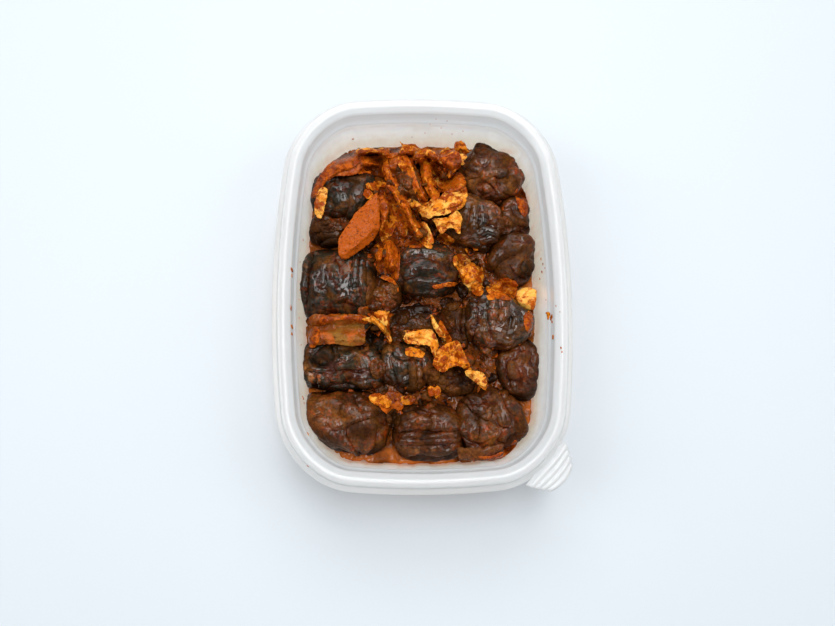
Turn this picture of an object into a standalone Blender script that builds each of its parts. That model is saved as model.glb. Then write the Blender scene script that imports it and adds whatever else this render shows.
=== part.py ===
"""A packed meal: braised sausage pieces with carrot, cabbage and onion in red sauce, in a plastic tub.

Metres, +Z up. +X is the tub's width and +Y its length, away from a person who looks in over the near end.
The origin is at the middle of the tub's footprint, on the surface that it stands on.
"""
import math

import bmesh
import bpy
from mathutils import Matrix, Vector, noise
from mathutils.bvhtree import BVHTree

MM = 0.001

# The tub's outline along the crest of its rim: a rounded rectangle whose sides bow outwards.
CREST_HALF_WIDTH = 65.0 * MM
CREST_HALF_LENGTH = 90.5 * MM
CREST_CORNER_RADIUS = 27.2 * MM
LONG_SIDE_BOW = 7.3 * MM
SHORT_SIDE_BOW = 4.6 * MM
CORNER_STEPS = 9
SIDE_STEPS = 3
SHARP_EDGE_DEGREES = 35.0

# The tub's section, as (distance outwards from the crest line, height).
# The inner side runs from the floor up to the lip, the collar, and the crest.
FLOOR_TOP = 1.5 * MM
INNER_SECTION = [
    (-15.0 * MM, FLOOR_TOP),
    (-10.0 * MM, 2.3 * MM),
    (-7.2 * MM, 4.6 * MM),
    (-6.0 * MM, 8.0 * MM),
    (-3.6 * MM, 39.9 * MM),
    (-3.0 * MM, 40.8 * MM),
    (-2.6 * MM, 42.0 * MM),
    (-2.3 * MM, 47.4 * MM),
    (-1.8 * MM, 48.2 * MM),
    (-0.4 * MM, 49.4 * MM),
]
# The crest, the bead's outer side and the flange round it.
RIM_SECTION = [
    (0.3 * MM, 50.0 * MM),
    (3.0 * MM, 50.0 * MM),
    (3.7 * MM, 49.4 * MM),
    (4.4 * MM, 45.6 * MM),
    (5.0 * MM, 45.1 * MM),
    (6.8 * MM, 44.8 * MM),
    (7.3 * MM, 44.2 * MM),
    (7.2 * MM, 43.4 * MM),
    (6.6 * MM, 43.4 * MM),
    (6.3 * MM, 43.9 * MM),
    (4.3 * MM, 44.3 * MM),
    (3.5 * MM, 45.2 * MM),
    (2.8 * MM, 49.1 * MM),
    (0.6 * MM, 49.1 * MM),
    (-0.9 * MM, 47.8 * MM),
]
# The outer side of the collar and wall, the foot, and the recess under the floor.
OUTER_SECTION = [
    (-1.4 * MM, 47.0 * MM),
    (-1.7 * MM, 42.2 * MM),
    (-2.7 * MM, 39.7 * MM),
    (-5.1 * MM, 8.0 * MM),
    (-6.0 * MM, 4.0 * MM),
    (-8.4 * MM, 1.0 * MM),
    (-10.6 * MM, 0.0),
    (-16.0 * MM, 0.0),
    (-16.8 * MM, 0.6 * MM),
]

# The pull tab at the near right corner: a ribbed plate on the flange.
TAB_ROOT = Vector((55.5, -84.0)) * MM
TAB_DIRECTION = Vector((0.72, -0.69)).normalized()
TAB_REACH = 12.3 * MM
TAB_ROOT_WIDTH = 27.0 * MM
TAB_TAPER = 0.48
TAB_TAPER_POWER = 1.3
TAB_ROUNDING = 0.16
TAB_THICKNESS = 0.9 * MM
TAB_TOP = 44.75 * MM
TAB_RIB_HEIGHT = 0.45 * MM
TAB_RIBS = 4
TAB_PLAIN_PART = 0.12
TAB_COLUMNS = 4
TAB_ROWS = 14

# Clearances between separate pieces.
TOUCH_GAP = 0.32 * MM
WALL_GAP = 0.5 * MM
DRAPE_GAP = 0.45 * MM

# The bed of sauce with chopped cabbage that the pieces are sunk in.
BED_TOP_AT_WALL = 15.0 * MM
BED_TOP_IN_MIDDLE = 20.0 * MM
BED_BUMP = 2.2 * MM
BED_BUMP_SIZE = 11.0 * MM
BED_EDGE = [
    (-15.4 * MM, FLOOR_TOP + 0.35 * MM),
    (-10.3 * MM, 2.75 * MM),
    (-7.7 * MM, 4.9 * MM),
    (-6.5 * MM, 8.2 * MM),
]
BED_RINGS = (0.9, 0.76, 0.58, 0.39, 0.19)
BED_RISE_PART = 0.3

# Sausage pieces: rounded drums that lie in the bed.
DRUM_RINGS = 8
DRUM_SIDES = 12
DRUM_FLOOR = 5.2 * MM
DRUM_END_POWER = 0.55
DRUM_SIDE_POWER = 0.85
DRUM_BUMP = 2.3 * MM
DRUM_BUMP_SIZE = 8.5 * MM
DRUM_VARIETY = Vector((3.7, 1.9, 0.0))
DRUM_REACH_ALLOWANCE = 1.04
# The hollows in the bed are wells with the drums' outlines, each a little deeper than the last.
HOLLOW_TURN_DEGREES = 14
HOLLOW_FEWEST_CORNERS = 6
HOLLOW_MARGIN = 0.5 * MM
HOLLOW_TOP = 45.0 * MM
HOLLOW_FLOOR_STEP = 0.03 * MM

# Each drum: name, middle (x, y, z), half length, half width, half height, turn in degrees. Millimetres.
DRUMS = [
    ("sausage_far_left", (-41.0, 54.0, 18.0), 17.0, 14.5, 12.0, 8),
    ("sausage_far_right", (38.0, 65.0, 18.5), 17.0, 15.5, 12.5, -30),
    ("sausage_upper_right", (27.5, 39.5, 19.5), 17.5, 14.5, 12.5, -20),
    ("sausage_right_edge", (50.0, 42.5, 16.5), 10.5, 12.0, 9.5, 70),
    ("sausage_right", (48.5, 20.5, 17.5), 13.0, 13.5, 11.5, 60),
    ("sausage_left", (-44.0, 6.0, 19.0), 20.5, 18.5, 12.5, 4),
    ("sausage_middle", (3.0, 13.0, 18.5), 15.5, 14.5, 12.5, 2),
    ("sausage_glossy", (39.5, -14.5, 19.5), 17.0, 16.5, 13.5, -25),
    ("casing_fold_glossy", (18.5, -15.5, 17.0), 5.5, 13.5, 10.0, 5),
    ("sausage_lower_right", (49.5, -38.0, 17.5), 10.5, 16.0, 10.5, 8),
    ("sausage_lower_left", (-41.0, -37.0, 18.0), 23.0, 12.5, 11.5, -6),
    ("sausage_centre_low", (-8.0, -37.0, 17.0), 13.5, 12.0, 11.5, -15),
    ("sausage_near_left", (-38.0, -63.5, 18.5), 21.5, 15.5, 12.0, -12),
    ("sausage_near_middle", (3.0, -69.5, 17.5), 16.0, 14.0, 11.5, 0),
    ("sausage_near_right", (34.5, -64.5, 18.0), 16.5, 15.5, 12.0, 20),
    ("sausage_scrap", (15.5, -44.5, 17.0), 10.5, 7.0, 9.5, -8),
    ("sausage_sunk", (-0.5, -14.5, 14.5), 13.0, 10.5, 8.0, 5),
    ("sausage_end_far", (-12.5, 72.5, 17.0), 5.5, 5.5, 8.0, 30),
    ("sausage_crumb_far", (-7.5, 58.0, 16.5), 5.5, 9.5, 8.5, 0),
    ("sausage_crumb_left", (-18.5, -1.0, 16.0), 7.5, 7.5, 9.0, 20),
    ("casing_fold_left", (-48.5, 34.5, 17.5), 9.5, 7.5, 9.0, -15),
]
# Chunks of cabbage that sit between the drums.
CHUNKS = [
    ("cabbage_cube_right", (54.0, -2.5, 20.0), 5.5, 6.0, 7.5, -15),
    ("cabbage_lump_middle", (25.5, 9.5, 19.0), 5.0, 7.0, 8.0, 30),
    ("cabbage_lump_left", (-20.0, -12.5, 17.5), 4.5, 4.5, 7.5, -20),
]

# Flat pieces lie on what is under them. Each: name, left edge, right edge, thickness, stiffness, wave.
# Edge points are (x, y) and every length is in millimetres; stiffness 1 is a flat slice, 0 a limp leaf.
BLADES = [
    ("onion_square", [(-57, -11), (-46, -10), (-29, -10)],
     [(-55, -25), (-41, -26), (-28, -26)], 2.5, 0.5, 0.6),
    ("onion_skin", [(-54, 61), (-48, 69), (-35, 77)], [(-47, 59), (-37, 65), (-22, 71)], 1.4, 0.1, 0.8),
    ("cabbage_far_strip", [(-35, 76), (-27, 79), (-16, 78)],
     [(-33, 72), (-26, 75), (-16, 74)], 1.6, 0.3, 0.5),
    ("shred_far_left", [(-20, 70), (-19, 63), (-13, 56)], [(-16, 70), (-15, 64), (-10, 57)], 1.4, 0.3, 0.3),
    ("shred_far_middle", [(-8, 74), (-4, 62), (1, 49)], [(-4, 73), (0, 61), (4, 50)], 1.5, 0.6, 0.4),
    ("onion_strip_far", [(1, 71), (1, 61), (5, 52)], [(6, 71), (6, 62), (8, 53)], 1.8, 0.5, 0.5),
    ("cabbage_far_peak", [(-11, 82), (-7, 81), (-2, 80)], [(-9, 77), (-6, 75), (-2, 76)], 2.2, 0.4, 0.9),
    ("cabbage_far_lobe", [(-4, 75), (2, 78), (9, 75)], [(-2, 71), (3, 72), (9, 71)], 2.2, 0.4, 0.9),
    ("cabbage_far_bit", [(10, 79), (13, 81), (17, 81)], [(10, 77), (14, 77), (17, 78)], 1.8, 0.4, 0.6),
    ("cabbage_far_corner", [(18, 79), (20, 83), (24, 82)], [(19, 76), (22, 76), (26, 76)], 2.4, 0.5, 0.8),
    ("cabbage_far_leaf", [(9, 70), (17, 75), (23, 74)], [(10, 69), (17, 65), (24, 69)], 2.2, 0.5, 1.0),
    ("carrot_piece", [(-22, 53), (-22, 44), (-23, 33)], [(-17, 54), (-16, 45), (-19, 35)], 3.0, 0.8, 0.2),
    ("carrot_slice", [(-24, 54), (-34, 40), (-41, 28)], [(-22, 51), (-24, 32), (-38, 18)], 4.0, 1.0, 0.2),
    ("shred_low_left", [(-23, 25), (-23, 21), (-23, 16)], [(-20, 26), (-19, 22), (-21, 16)], 1.6, 0.1, 0.4),
    ("shred_low_right", [(-18, 29), (-18, 21), (-16, 11)], [(-15, 30), (-15, 21), (-13, 12)], 1.6, 0.1, 0.4),
    ("cabbage_lower_leaf", [(6, 37), (13, 38.5), (20, 40)], [(10, 31), (14, 33), (19, 30)], 2.0, 0.1, 0.6),
    ("cabbage_white_strip", [(-1, 40), (1, 32), (4, 25)], [(1, 39), (5, 33), (7, 25)], 1.6, 0.1, 0.3),
    ("cabbage_big_leaf", [(-1, 43), (6, 49), (14, 54), (22, 57)], [(3, 39), (10, 40), (18, 42), (24, 51)],
     2.2, 0.1, 0.8),
    ("cabbage_root", [(-8, 50), (-5, 45), (-3, 41)], [(-4, 51), (-1, 47), (1, 43)], 1.8, 0.1, 0.6),
    ("shred_long", [(-18, 55), (-10, 43), (-2, 27)], [(-16, 56), (-8, 45), (1, 27)], 1.4, 0.3, 0.3),
    ("cabbage_thin_strip", [(-26, -12), (-21, -15), (-17, -21)],
     [(-26, -15), (-23, -17), (-19, -21)], 1.4, 0.6, 0.3),
    ("cabbage_hook", [(-9, -20), (-3, -20), (3, -20), (8, -24), (10, -31)],
     [(-6, -25), (-2, -24), (2, -24), (5, -28), (6, -33)], 2.2, 0.4, 0.9),
    ("shred_middle", [(5, -11), (9, -17), (12, -23)], [(5, -14), (6, -19), (10, -23)], 1.6, 0.6, 0.3),
    ("cabbage_red_leaf", [(8, -33), (14, -29), (19, -25)], [(10, -40), (18, -40), (24, -38)], 2.4, 0.5, 1.0),
    ("cabbage_low_leaf", [(21, -41), (26, -39), (32, -42)], [(25, -45), (28, -47), (32, -48)], 2.2, 0.4, 0.9),
    ("cabbage_star", [(3, -48), (6, -47), (9, -48)], [(4, -52), (6, -53), (9, -54)], 2.0, 0.4, 0.8),
    ("cabbage_wall_left", [(-54, 57), (-56, 50), (-56, 40)],
     [(-51, 56), (-52, 47), (-53, 39)], 1.4, 0.2, 0.3),
    ("casing_near", [(16, -77), (28, -77), (39, -75)], [(17, -82), (28, -83), (39, -81)], 2.0, 0.2, 0.5),
]
BLADE_STEP = 3.6 * MM
BLADE_SEARCH = 1.25
BLADE_SEARCH_RINGS = (0.5, 1.0)
BLADE_SEARCH_SPOTS = 10
BLADE_SEARCH_FROM = 100.0 * MM
BLADE_WAVE_SIZE = 5.0 * MM
BLADE_VARIETY = 0.01
BLADE_WALL_LEVEL = 30.0 * MM
BLADE_WALL_GAP = 1.6 * MM

# Colours, with roughness.
PLASTIC = ((0.86, 0.87, 0.86, 1.0), 0.35)
SAUCE = ((0.30, 0.055, 0.012, 1.0), 0.25)
CASING = ((0.085, 0.035, 0.022, 1.0), 0.35)
CABBAGE = ((0.80, 0.42, 0.13, 1.0), 0.45)
CARROT = ((0.75, 0.16, 0.02, 1.0), 0.5)
SHRED = ((0.45, 0.12, 0.02, 1.0), 0.4)
ONION = ((0.42, 0.10, 0.02, 1.0), 0.3)


def clear_scene():
    """Remove whatever the open scene holds."""
    for thing in list(bpy.data.objects):
        bpy.data.objects.remove(thing, do_unlink=True)


def make_collection(name):
    """Add a collection to the scene."""
    collection = bpy.data.collections.new(name)
    bpy.context.scene.collection.children.link(collection)
    return collection


def make_material(name, look):
    """One Principled material of a plain colour."""
    colour, roughness = look
    material = bpy.data.materials.new(name)
    material.use_nodes = True
    shader = material.node_tree.nodes["Principled BSDF"]
    shader.inputs["Base Color"].default_value = colour
    shader.inputs["Roughness"].default_value = roughness
    shader.inputs["Metallic"].default_value = 0.0
    material.diffuse_color = colour
    return material


def add_mesh(name, shape, material, collection):
    """Make an object from an editable mesh, with its faces turned outwards."""
    bmesh.ops.recalc_face_normals(shape, faces=shape.faces)
    mesh = bpy.data.meshes.new(name)
    shape.to_mesh(mesh)
    shape.free()
    mesh.materials.append(material)
    mesh.shade_smooth()
    thing = bpy.data.objects.new(name, mesh)
    collection.objects.link(thing)
    return thing


def apply_modifiers(thing):
    """Replace an object's mesh with its evaluated one."""
    bpy.context.view_layer.update()
    evaluated = thing.evaluated_get(bpy.context.evaluated_depsgraph_get())
    mesh = bpy.data.meshes.new_from_object(evaluated)
    thing.modifiers.clear()
    old = thing.data
    thing.data = mesh
    bpy.data.meshes.remove(old)


def boolean(target, cutter, operation, solver="EXACT"):
    """Join or cut with a Boolean, applied to the target's mesh, and remove the cutter."""
    modifier = target.modifiers.new("join", "BOOLEAN")
    modifier.operation = operation
    modifier.solver = solver
    modifier.object = cutter
    apply_modifiers(target)
    bpy.data.objects.remove(cutter, do_unlink=True)


def add_loft(name, rings, material, collection):
    """A closed skin through rings of equal count, with a fan at each end."""
    shape = bmesh.new()
    rows = [[shape.verts.new(p) for p in ring] for ring in rings]
    count = len(rows[0])
    for low, high in zip(rows, rows[1:]):
        for index in range(count):
            after = (index + 1) % count
            shape.faces.new((low[index], low[after], high[after], high[index]))
    for row, ring in ((rows[0], rings[0]), (rows[-1], rings[-1])):
        hub = shape.verts.new(sum(ring, Vector()) / count)
        for index in range(count):
            shape.faces.new((row[index], row[(index + 1) % count], hub))
    return add_mesh(name, shape, material, collection)


def grid_parts(columns, rows):
    """A flat grid, with each corner's place across and along it from 0 to 1."""
    shape = bmesh.new()
    bmesh.ops.create_grid(shape, x_segments=columns, y_segments=rows, size=0.5)
    parts = [(vertex.co.x + 0.5, vertex.co.y + 0.5) for vertex in shape.verts]
    return shape, parts


def add_sheet(name, shape, thickness, material, collection):
    """A thin solid whose lower side is an open grid, both of its sides split into triangles alike."""
    bmesh.ops.triangulate(shape, faces=shape.faces)
    sheet = add_mesh(name, shape, material, collection)
    if sheet.data.polygons[0].normal.z < 0:
        sheet.data.flip_normals()
    modifier = sheet.modifiers.new("thickness", "SOLIDIFY")
    modifier.thickness = thickness
    modifier.offset = 1.0
    apply_modifiers(sheet)
    return sheet


def crest_line():
    """Points of the tub's crest line and their outward normals, anticlockwise seen from above."""
    straight_x = CREST_HALF_WIDTH - CREST_CORNER_RADIUS
    straight_y = CREST_HALF_LENGTH - CREST_CORNER_RADIUS
    quadrant = [Vector((CREST_HALF_WIDTH, straight_y * step / SIDE_STEPS)) for step in range(SIDE_STEPS)]
    for step in range(CORNER_STEPS + 1):
        angle = math.pi / 2 * step / CORNER_STEPS
        offset = Vector((math.cos(angle), math.sin(angle))) * CREST_CORNER_RADIUS
        quadrant.append(Vector((straight_x, straight_y)) + offset)
    for step in range(1, SIDE_STEPS):
        quadrant.append(Vector((straight_x * (1 - step / SIDE_STEPS), CREST_HALF_LENGTH)))
    loop = list(quadrant)
    loop.append(Vector((0.0, CREST_HALF_LENGTH)))
    loop += [Vector((-p.x, p.y)) for p in reversed(quadrant)]
    loop += [Vector((-p.x, -p.y)) for p in quadrant[1:]]
    loop.append(Vector((0.0, -CREST_HALF_LENGTH)))
    loop += [Vector((p.x, -p.y)) for p in reversed(quadrant[1:])]
    bowed = []
    for p in loop:
        pull_x = 1 - LONG_SIDE_BOW / CREST_HALF_WIDTH * (p.y / CREST_HALF_LENGTH) ** 2
        pull_y = 1 - SHORT_SIDE_BOW / CREST_HALF_LENGTH * (p.x / CREST_HALF_WIDTH) ** 2
        bowed.append(Vector((p.x * pull_x, p.y * pull_y)))
    normals = []
    for index in range(len(bowed)):
        along = bowed[(index + 1) % len(bowed)] - bowed[index - 1]
        normals.append(Vector((along.y, -along.x)).normalized())
    return bowed, normals


CREST, CREST_NORMALS = crest_line()


def outline_at(offset):
    """The tub's outline moved outwards by an offset."""
    return [p + n * offset for p, n in zip(CREST, CREST_NORMALS)]


def ring_at(offset, height):
    """One ring of the tub's skin."""
    return [Vector((p.x, p.y, height)) for p in outline_at(offset)]


def offset_of(x, y):
    """How far a point lies outside the crest line, negative inside, and the outward direction there."""
    best = -1.0
    direction = Vector((1.0, 0.0))
    for index, start in enumerate(CREST):
        along = CREST[(index + 1) % len(CREST)] - start
        normal = Vector((along.y, -along.x)).normalized()
        reach = (Vector((x, y)) - start).dot(normal)
        if reach > best:
            best = reach
            direction = normal
    return best, direction


def wall_offset(height):
    """The inner wall's distance from the crest line at a height."""
    for (low, low_z), (high, high_z) in zip(INNER_SECTION, INNER_SECTION[1:]):
        if height <= high_z:
            part = max(0.0, (height - low_z) / (high_z - low_z))
            return low + (high - low) * part
    return INNER_SECTION[-1][0]


def keep_inside_tub(point, gap=WALL_GAP):
    """Push a point in from the tub's wall."""
    for _ in range(3):
        reach, direction = offset_of(point.x, point.y)
        excess = reach - (wall_offset(point.z) - gap)
        if excess > 0:
            point.x -= direction.x * excess
            point.y -= direction.y * excess
    return point


def build_tab(material, collection):
    """The ribbed pull tab, a plate that reaches out from the flange at one corner."""
    across = Vector((-TAB_DIRECTION.y, TAB_DIRECTION.x))
    shape, parts = grid_parts(TAB_COLUMNS, TAB_ROWS)
    for vertex, (sideways, along) in zip(shape.verts, parts):
        side = 2 * sideways - 1
        half = TAB_ROOT_WIDTH / 2 * (1 - TAB_TAPER * along ** TAB_TAPER_POWER)
        reach = TAB_REACH * along * (1 - TAB_ROUNDING * side * side)
        place = TAB_ROOT + TAB_DIRECTION * reach + across * half * side
        ribbed = max(0.0, along - TAB_PLAIN_PART) / (1 - TAB_PLAIN_PART)
        rib = TAB_RIB_HEIGHT * (1 - math.cos(2 * math.pi * TAB_RIBS * ribbed)) / 2
        if abs(side) == 1:
            rib = 0.0
        vertex.co = (place.x, place.y, TAB_TOP - TAB_THICKNESS + rib)
    return add_sheet("tab_blank", shape, TAB_THICKNESS, material, collection)


def build_tub(material, collection):
    """The tub: one thin wall round the whole section, with the tab joined to its flange."""
    section = INNER_SECTION + RIM_SECTION + OUTER_SECTION
    tub = add_loft("tub", [ring_at(offset, height) for offset, height in section], material, collection)
    boolean(tub, build_tab(material, collection), "UNION")
    tub.data.set_sharp_from_angle(angle=math.radians(SHARP_EDGE_DEGREES))
    return tub


def power(value, exponent):
    """A signed power, which squares up a circle as the exponent falls below one."""
    return math.copysign(abs(value) ** exponent, value)


def drum_point(ball, index, spec):
    """Where a point of a round ball goes on a lumpy drum, whose axis runs from end to end."""
    _, middle, half_length, half_width, half_height, turn = spec
    around = math.atan2(ball.y, ball.x)
    girth = power(math.hypot(ball.x, ball.y), DRUM_END_POWER)
    local = Vector((
        power(ball.z, DRUM_END_POWER) * half_length,
        power(math.cos(around), DRUM_SIDE_POWER) * girth * half_width,
        power(math.sin(around), DRUM_SIDE_POWER) * girth * half_height,
    )) * MM
    bump = noise.noise(local / DRUM_BUMP_SIZE + DRUM_VARIETY * index)
    local += local.normalized() * DRUM_BUMP * bump
    return Matrix.Rotation(math.radians(turn), 3, "Z") @ local + Vector(middle) * MM


def reach_of(spec, direction):
    """How far a drum reaches from its middle in a direction."""
    _, _, half_length, half_width, half_height, turn = spec
    local = Matrix.Rotation(-math.radians(turn), 3, "Z") @ direction
    sizes = Vector((half_length, half_width, half_height)) * MM
    return Vector((local.x * sizes.x, local.y * sizes.y, local.z * sizes.z)).length * DRUM_REACH_ALLOWANCE


def trim_to_neighbours(spec, others, points):
    """Flatten a drum against the planes half way to its neighbours, as soft pieces press together."""
    middle = Vector(spec[1]) * MM
    for other in others:
        towards = Vector(other[1]) * MM - middle
        distance = towards.length
        direction = towards.normalized()
        own = reach_of(spec, direction)
        its = reach_of(other, -direction)
        if own + its < distance:
            limit = (distance + own - its) / 2 - TOUCH_GAP / 2
        else:
            limit = distance * own / (own + its) - TOUCH_GAP / 2
        for point in points:
            excess = (point - middle).dot(direction) - limit
            if excess > 0:
                point -= direction * excess


def build_drum(index, spec, everything, material, collection):
    """One sausage piece or chunk, trimmed to its neighbours, the floor and the tub's wall."""
    shape = bmesh.new()
    bmesh.ops.create_uvsphere(shape, u_segments=DRUM_SIDES, v_segments=DRUM_RINGS, radius=1.0)
    points = [drum_point(vertex.co, index, spec) for vertex in shape.verts]
    trim_to_neighbours(spec, [other for other in everything if other is not spec], points)
    for vertex, point in zip(shape.verts, points):
        point.z = max(point.z, DRUM_FLOOR)
        vertex.co = keep_inside_tub(point)
    bmesh.ops.triangulate(shape, faces=shape.faces)
    return add_mesh(spec[0], shape, material, collection)


def outline_of(points):
    """The convex outline of some points seen from above, anticlockwise."""
    spots = sorted({(round(p.x, 7), round(p.y, 7)) for p in points})
    halves = []
    for order in (spots, list(reversed(spots))):
        half = []
        for spot in order:
            here = Vector(spot)
            while len(half) > 1 and (half[-1] - half[-2]).cross(here - half[-1]) <= 0:
                half.pop()
            half.append(here)
        halves += half[:-1]
    return halves


def well_outline(points):
    """A drum's outline with its shallowest corners left out, moved outwards to clear the drum."""
    loop = outline_of(points)
    index = 0
    while index < len(loop) and len(loop) > HOLLOW_FEWEST_CORNERS:
        before = loop[index] - loop[index - 1]
        after = loop[(index + 1) % len(loop)] - loop[index]
        if math.degrees(abs(before.angle_signed(after))) < HOLLOW_TURN_DEGREES:
            loop.pop(index)
        index += 1
    lines = []
    for index, start in enumerate(loop):
        along = (loop[(index + 1) % len(loop)] - start).normalized()
        normal = Vector((along.y, -along.x))
        reach = max((Vector((p.x, p.y)) - start).dot(normal) for p in points)
        lines.append((normal, start.dot(normal) + reach + HOLLOW_MARGIN))
    corners = []
    for index, (normal, distance) in enumerate(lines):
        earlier, earlier_distance = lines[index - 1]
        area = earlier.cross(normal)
        x = (earlier_distance * normal.y - distance * earlier.y) / area
        y = (distance * earlier.x - earlier_distance * normal.x) / area
        corners.append(Vector((x, y)))
    return corners


def bed_ring(outline, scale):
    """One ring of the bed's top, which rises from the wall and is uneven with chopped cabbage."""
    rise = min(1.0, (1 - scale) / BED_RISE_PART)
    level = BED_TOP_AT_WALL + (BED_TOP_IN_MIDDLE - BED_TOP_AT_WALL) * rise
    ring = []
    for point in outline:
        place = Vector((point.x * scale, point.y * scale, 0.0))
        place.z = level + BED_BUMP * noise.noise(place / BED_BUMP_SIZE)
        ring.append(place)
    return ring


def build_bed(drums, material, collection, cutters):
    """The bed that fills the tub round the sunk pieces, with a hollow for each of them."""
    rings = [ring_at(offset, height) for offset, height in BED_EDGE]
    outline = outline_at(wall_offset(BED_TOP_AT_WALL) - WALL_GAP)
    rings += [bed_ring(outline, scale) for scale in (1.0,) + BED_RINGS]
    bed = add_loft("sauce_bed", rings, material, collection)
    for index, drum in enumerate(drums):
        points = [v.co for v in drum.data.vertices]
        floor = min(p.z for p in points) - TOUCH_GAP - index * HOLLOW_FLOOR_STEP
        outline = well_outline(points)
        rings = [[Vector((p.x, p.y, height)) for p in outline] for height in (floor, HOLLOW_TOP)]
        hollow = add_loft("hollow_" + drum.name, rings, material, cutters)
        hollow.hide_render = True
        hollow.display_type = "WIRE"
        boolean(bed, hollow, "DIFFERENCE", "MANIFOLD")
    return bed


def ground_tree(things):
    """A search tree over the meshes laid so far."""
    vertices = []
    faces = []
    for thing in things:
        base = len(vertices)
        vertices += [thing.matrix_world @ v.co for v in thing.data.vertices]
        faces += [tuple(base + i for i in polygon.vertices) for polygon in thing.data.polygons]
    return BVHTree.FromPolygons(vertices, faces)


def ground_height(tree, x, y, radius):
    """The highest surface within a radius of a point, seen from above."""
    spots = [(0.0, 0.0)]
    for ring in BLADE_SEARCH_RINGS:
        for step in range(BLADE_SEARCH_SPOTS):
            angle = 2 * math.pi * step / BLADE_SEARCH_SPOTS
            spots.append((radius * ring * math.cos(angle), radius * ring * math.sin(angle)))
    best = 0.0
    for dx, dy in spots:
        hit = tree.ray_cast(Vector((x + dx, y + dy, BLADE_SEARCH_FROM)), Vector((0, 0, -1)))
        if hit[0] is not None:
            best = max(best, hit[0].z)
    return best


def curve_through(points, part):
    """A point on the smooth curve through a few points, at a part from 0 to 1."""
    place = part * (len(points) - 1)
    index = min(int(place), len(points) - 2)
    blend = place - index
    before = points[max(index - 1, 0)]
    start = points[index]
    end = points[index + 1]
    after = points[min(index + 2, len(points) - 1)]
    tangent_start = (end - before) / 2
    tangent_end = (after - start) / 2
    square = blend * blend
    cube = square * blend
    return (start * (2 * cube - 3 * square + 1) + tangent_start * (cube - 2 * square + blend)
            + end * (3 * square - 2 * cube) + tangent_end * (cube - square))


def build_blade(index, spec, laid, material, collection):
    """A flat piece between two edges, laid on everything under it."""
    name, left, right, thickness, stiffness, wave = spec
    left = [Vector(p) * MM for p in left]
    right = [Vector(p) * MM for p in right]
    length = sum((b - a).length for a, b in zip(left, left[1:]))
    width = max((a - b).length for a, b in zip(left, right))
    shape, parts = grid_parts(max(1, round(width / BLADE_STEP)), max(3, round(length / BLADE_STEP)))
    tree = ground_tree(laid)
    places = []
    for across, along in parts:
        place = curve_through(left, along).lerp(curve_through(right, along), across)
        places.append(keep_inside_tub(Vector((place.x, place.y, BLADE_WALL_LEVEL)), BLADE_WALL_GAP))
    ground = [ground_height(tree, p.x, p.y, BLADE_STEP * BLADE_SEARCH) for p in places]
    flat = max(ground)
    for vertex, place, under in zip(shape.verts, places, ground):
        ripple = noise.noise(Vector((place.x, place.y, index * BLADE_VARIETY)) / BLADE_WAVE_SIZE)
        lift = DRAPE_GAP + wave * MM * (ripple + 1) / 2
        vertex.co = (place.x, place.y, under * (1 - stiffness) + flat * stiffness + lift)
    return add_sheet(name, shape, thickness * MM, material, collection)


def blade_material(name, materials):
    """The material that a flat piece's name calls for."""
    for word in ("carrot", "shred", "onion", "casing"):
        if name.startswith(word):
            return materials[word]
    return materials["cabbage"]


def main():
    """Build the tub and everything in it."""
    clear_scene()
    meal = make_collection("packed_meal")
    cutters = make_collection("cutters")
    materials = {
        "plastic": make_material("tub_plastic", PLASTIC),
        "sauce": make_material("red_sauce", SAUCE),
        "casing": make_material("dark_casing", CASING),
        "cabbage": make_material("stained_cabbage", CABBAGE),
        "carrot": make_material("stained_carrot", CARROT),
        "shred": make_material("orange_shred", SHRED),
        "onion": make_material("soft_onion", ONION),
    }
    build_tub(materials["plastic"], meal)
    everything = DRUMS + CHUNKS
    drums = []
    for index, spec in enumerate(everything):
        material = materials["cabbage"] if spec in CHUNKS else materials["casing"]
        drums.append(build_drum(index, spec, everything, material, meal))
    bed = build_bed(drums, materials["sauce"], meal, cutters)
    laid = drums + [bed]
    for index, spec in enumerate(BLADES):
        laid.append(build_blade(index, spec, laid, blade_material(spec[0], materials), meal))


main()
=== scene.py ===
"""Looks for a packed meal: braised sausage pieces with carrot, cabbage and onion in red sauce, in a tub.

Metres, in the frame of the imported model. +Y runs away from a person who looks in over the near end.
"""
import math

import bmesh
import bpy
import numpy as np
from mathutils import Matrix, Vector, noise
from mathutils.bvhtree import BVHTree
from mathutils.geometry import delaunay_2d_cdt


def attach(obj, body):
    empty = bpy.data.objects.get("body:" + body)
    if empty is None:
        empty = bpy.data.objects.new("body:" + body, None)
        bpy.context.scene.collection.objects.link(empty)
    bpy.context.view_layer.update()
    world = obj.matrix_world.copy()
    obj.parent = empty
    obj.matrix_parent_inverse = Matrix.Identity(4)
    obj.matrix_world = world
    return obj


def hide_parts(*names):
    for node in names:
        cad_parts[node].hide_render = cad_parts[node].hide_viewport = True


bl_info = {
    "name": "Packed Meal Looks",
    "version": (1, 0, 0),
    "blender": (4, 5, 0),
    "location": "3D View > Sidebar > Meal",
    "description": "Builds the looks of a tub of braised sausage and vegetables over its packed solids",
    "category": "Object",
}

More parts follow.
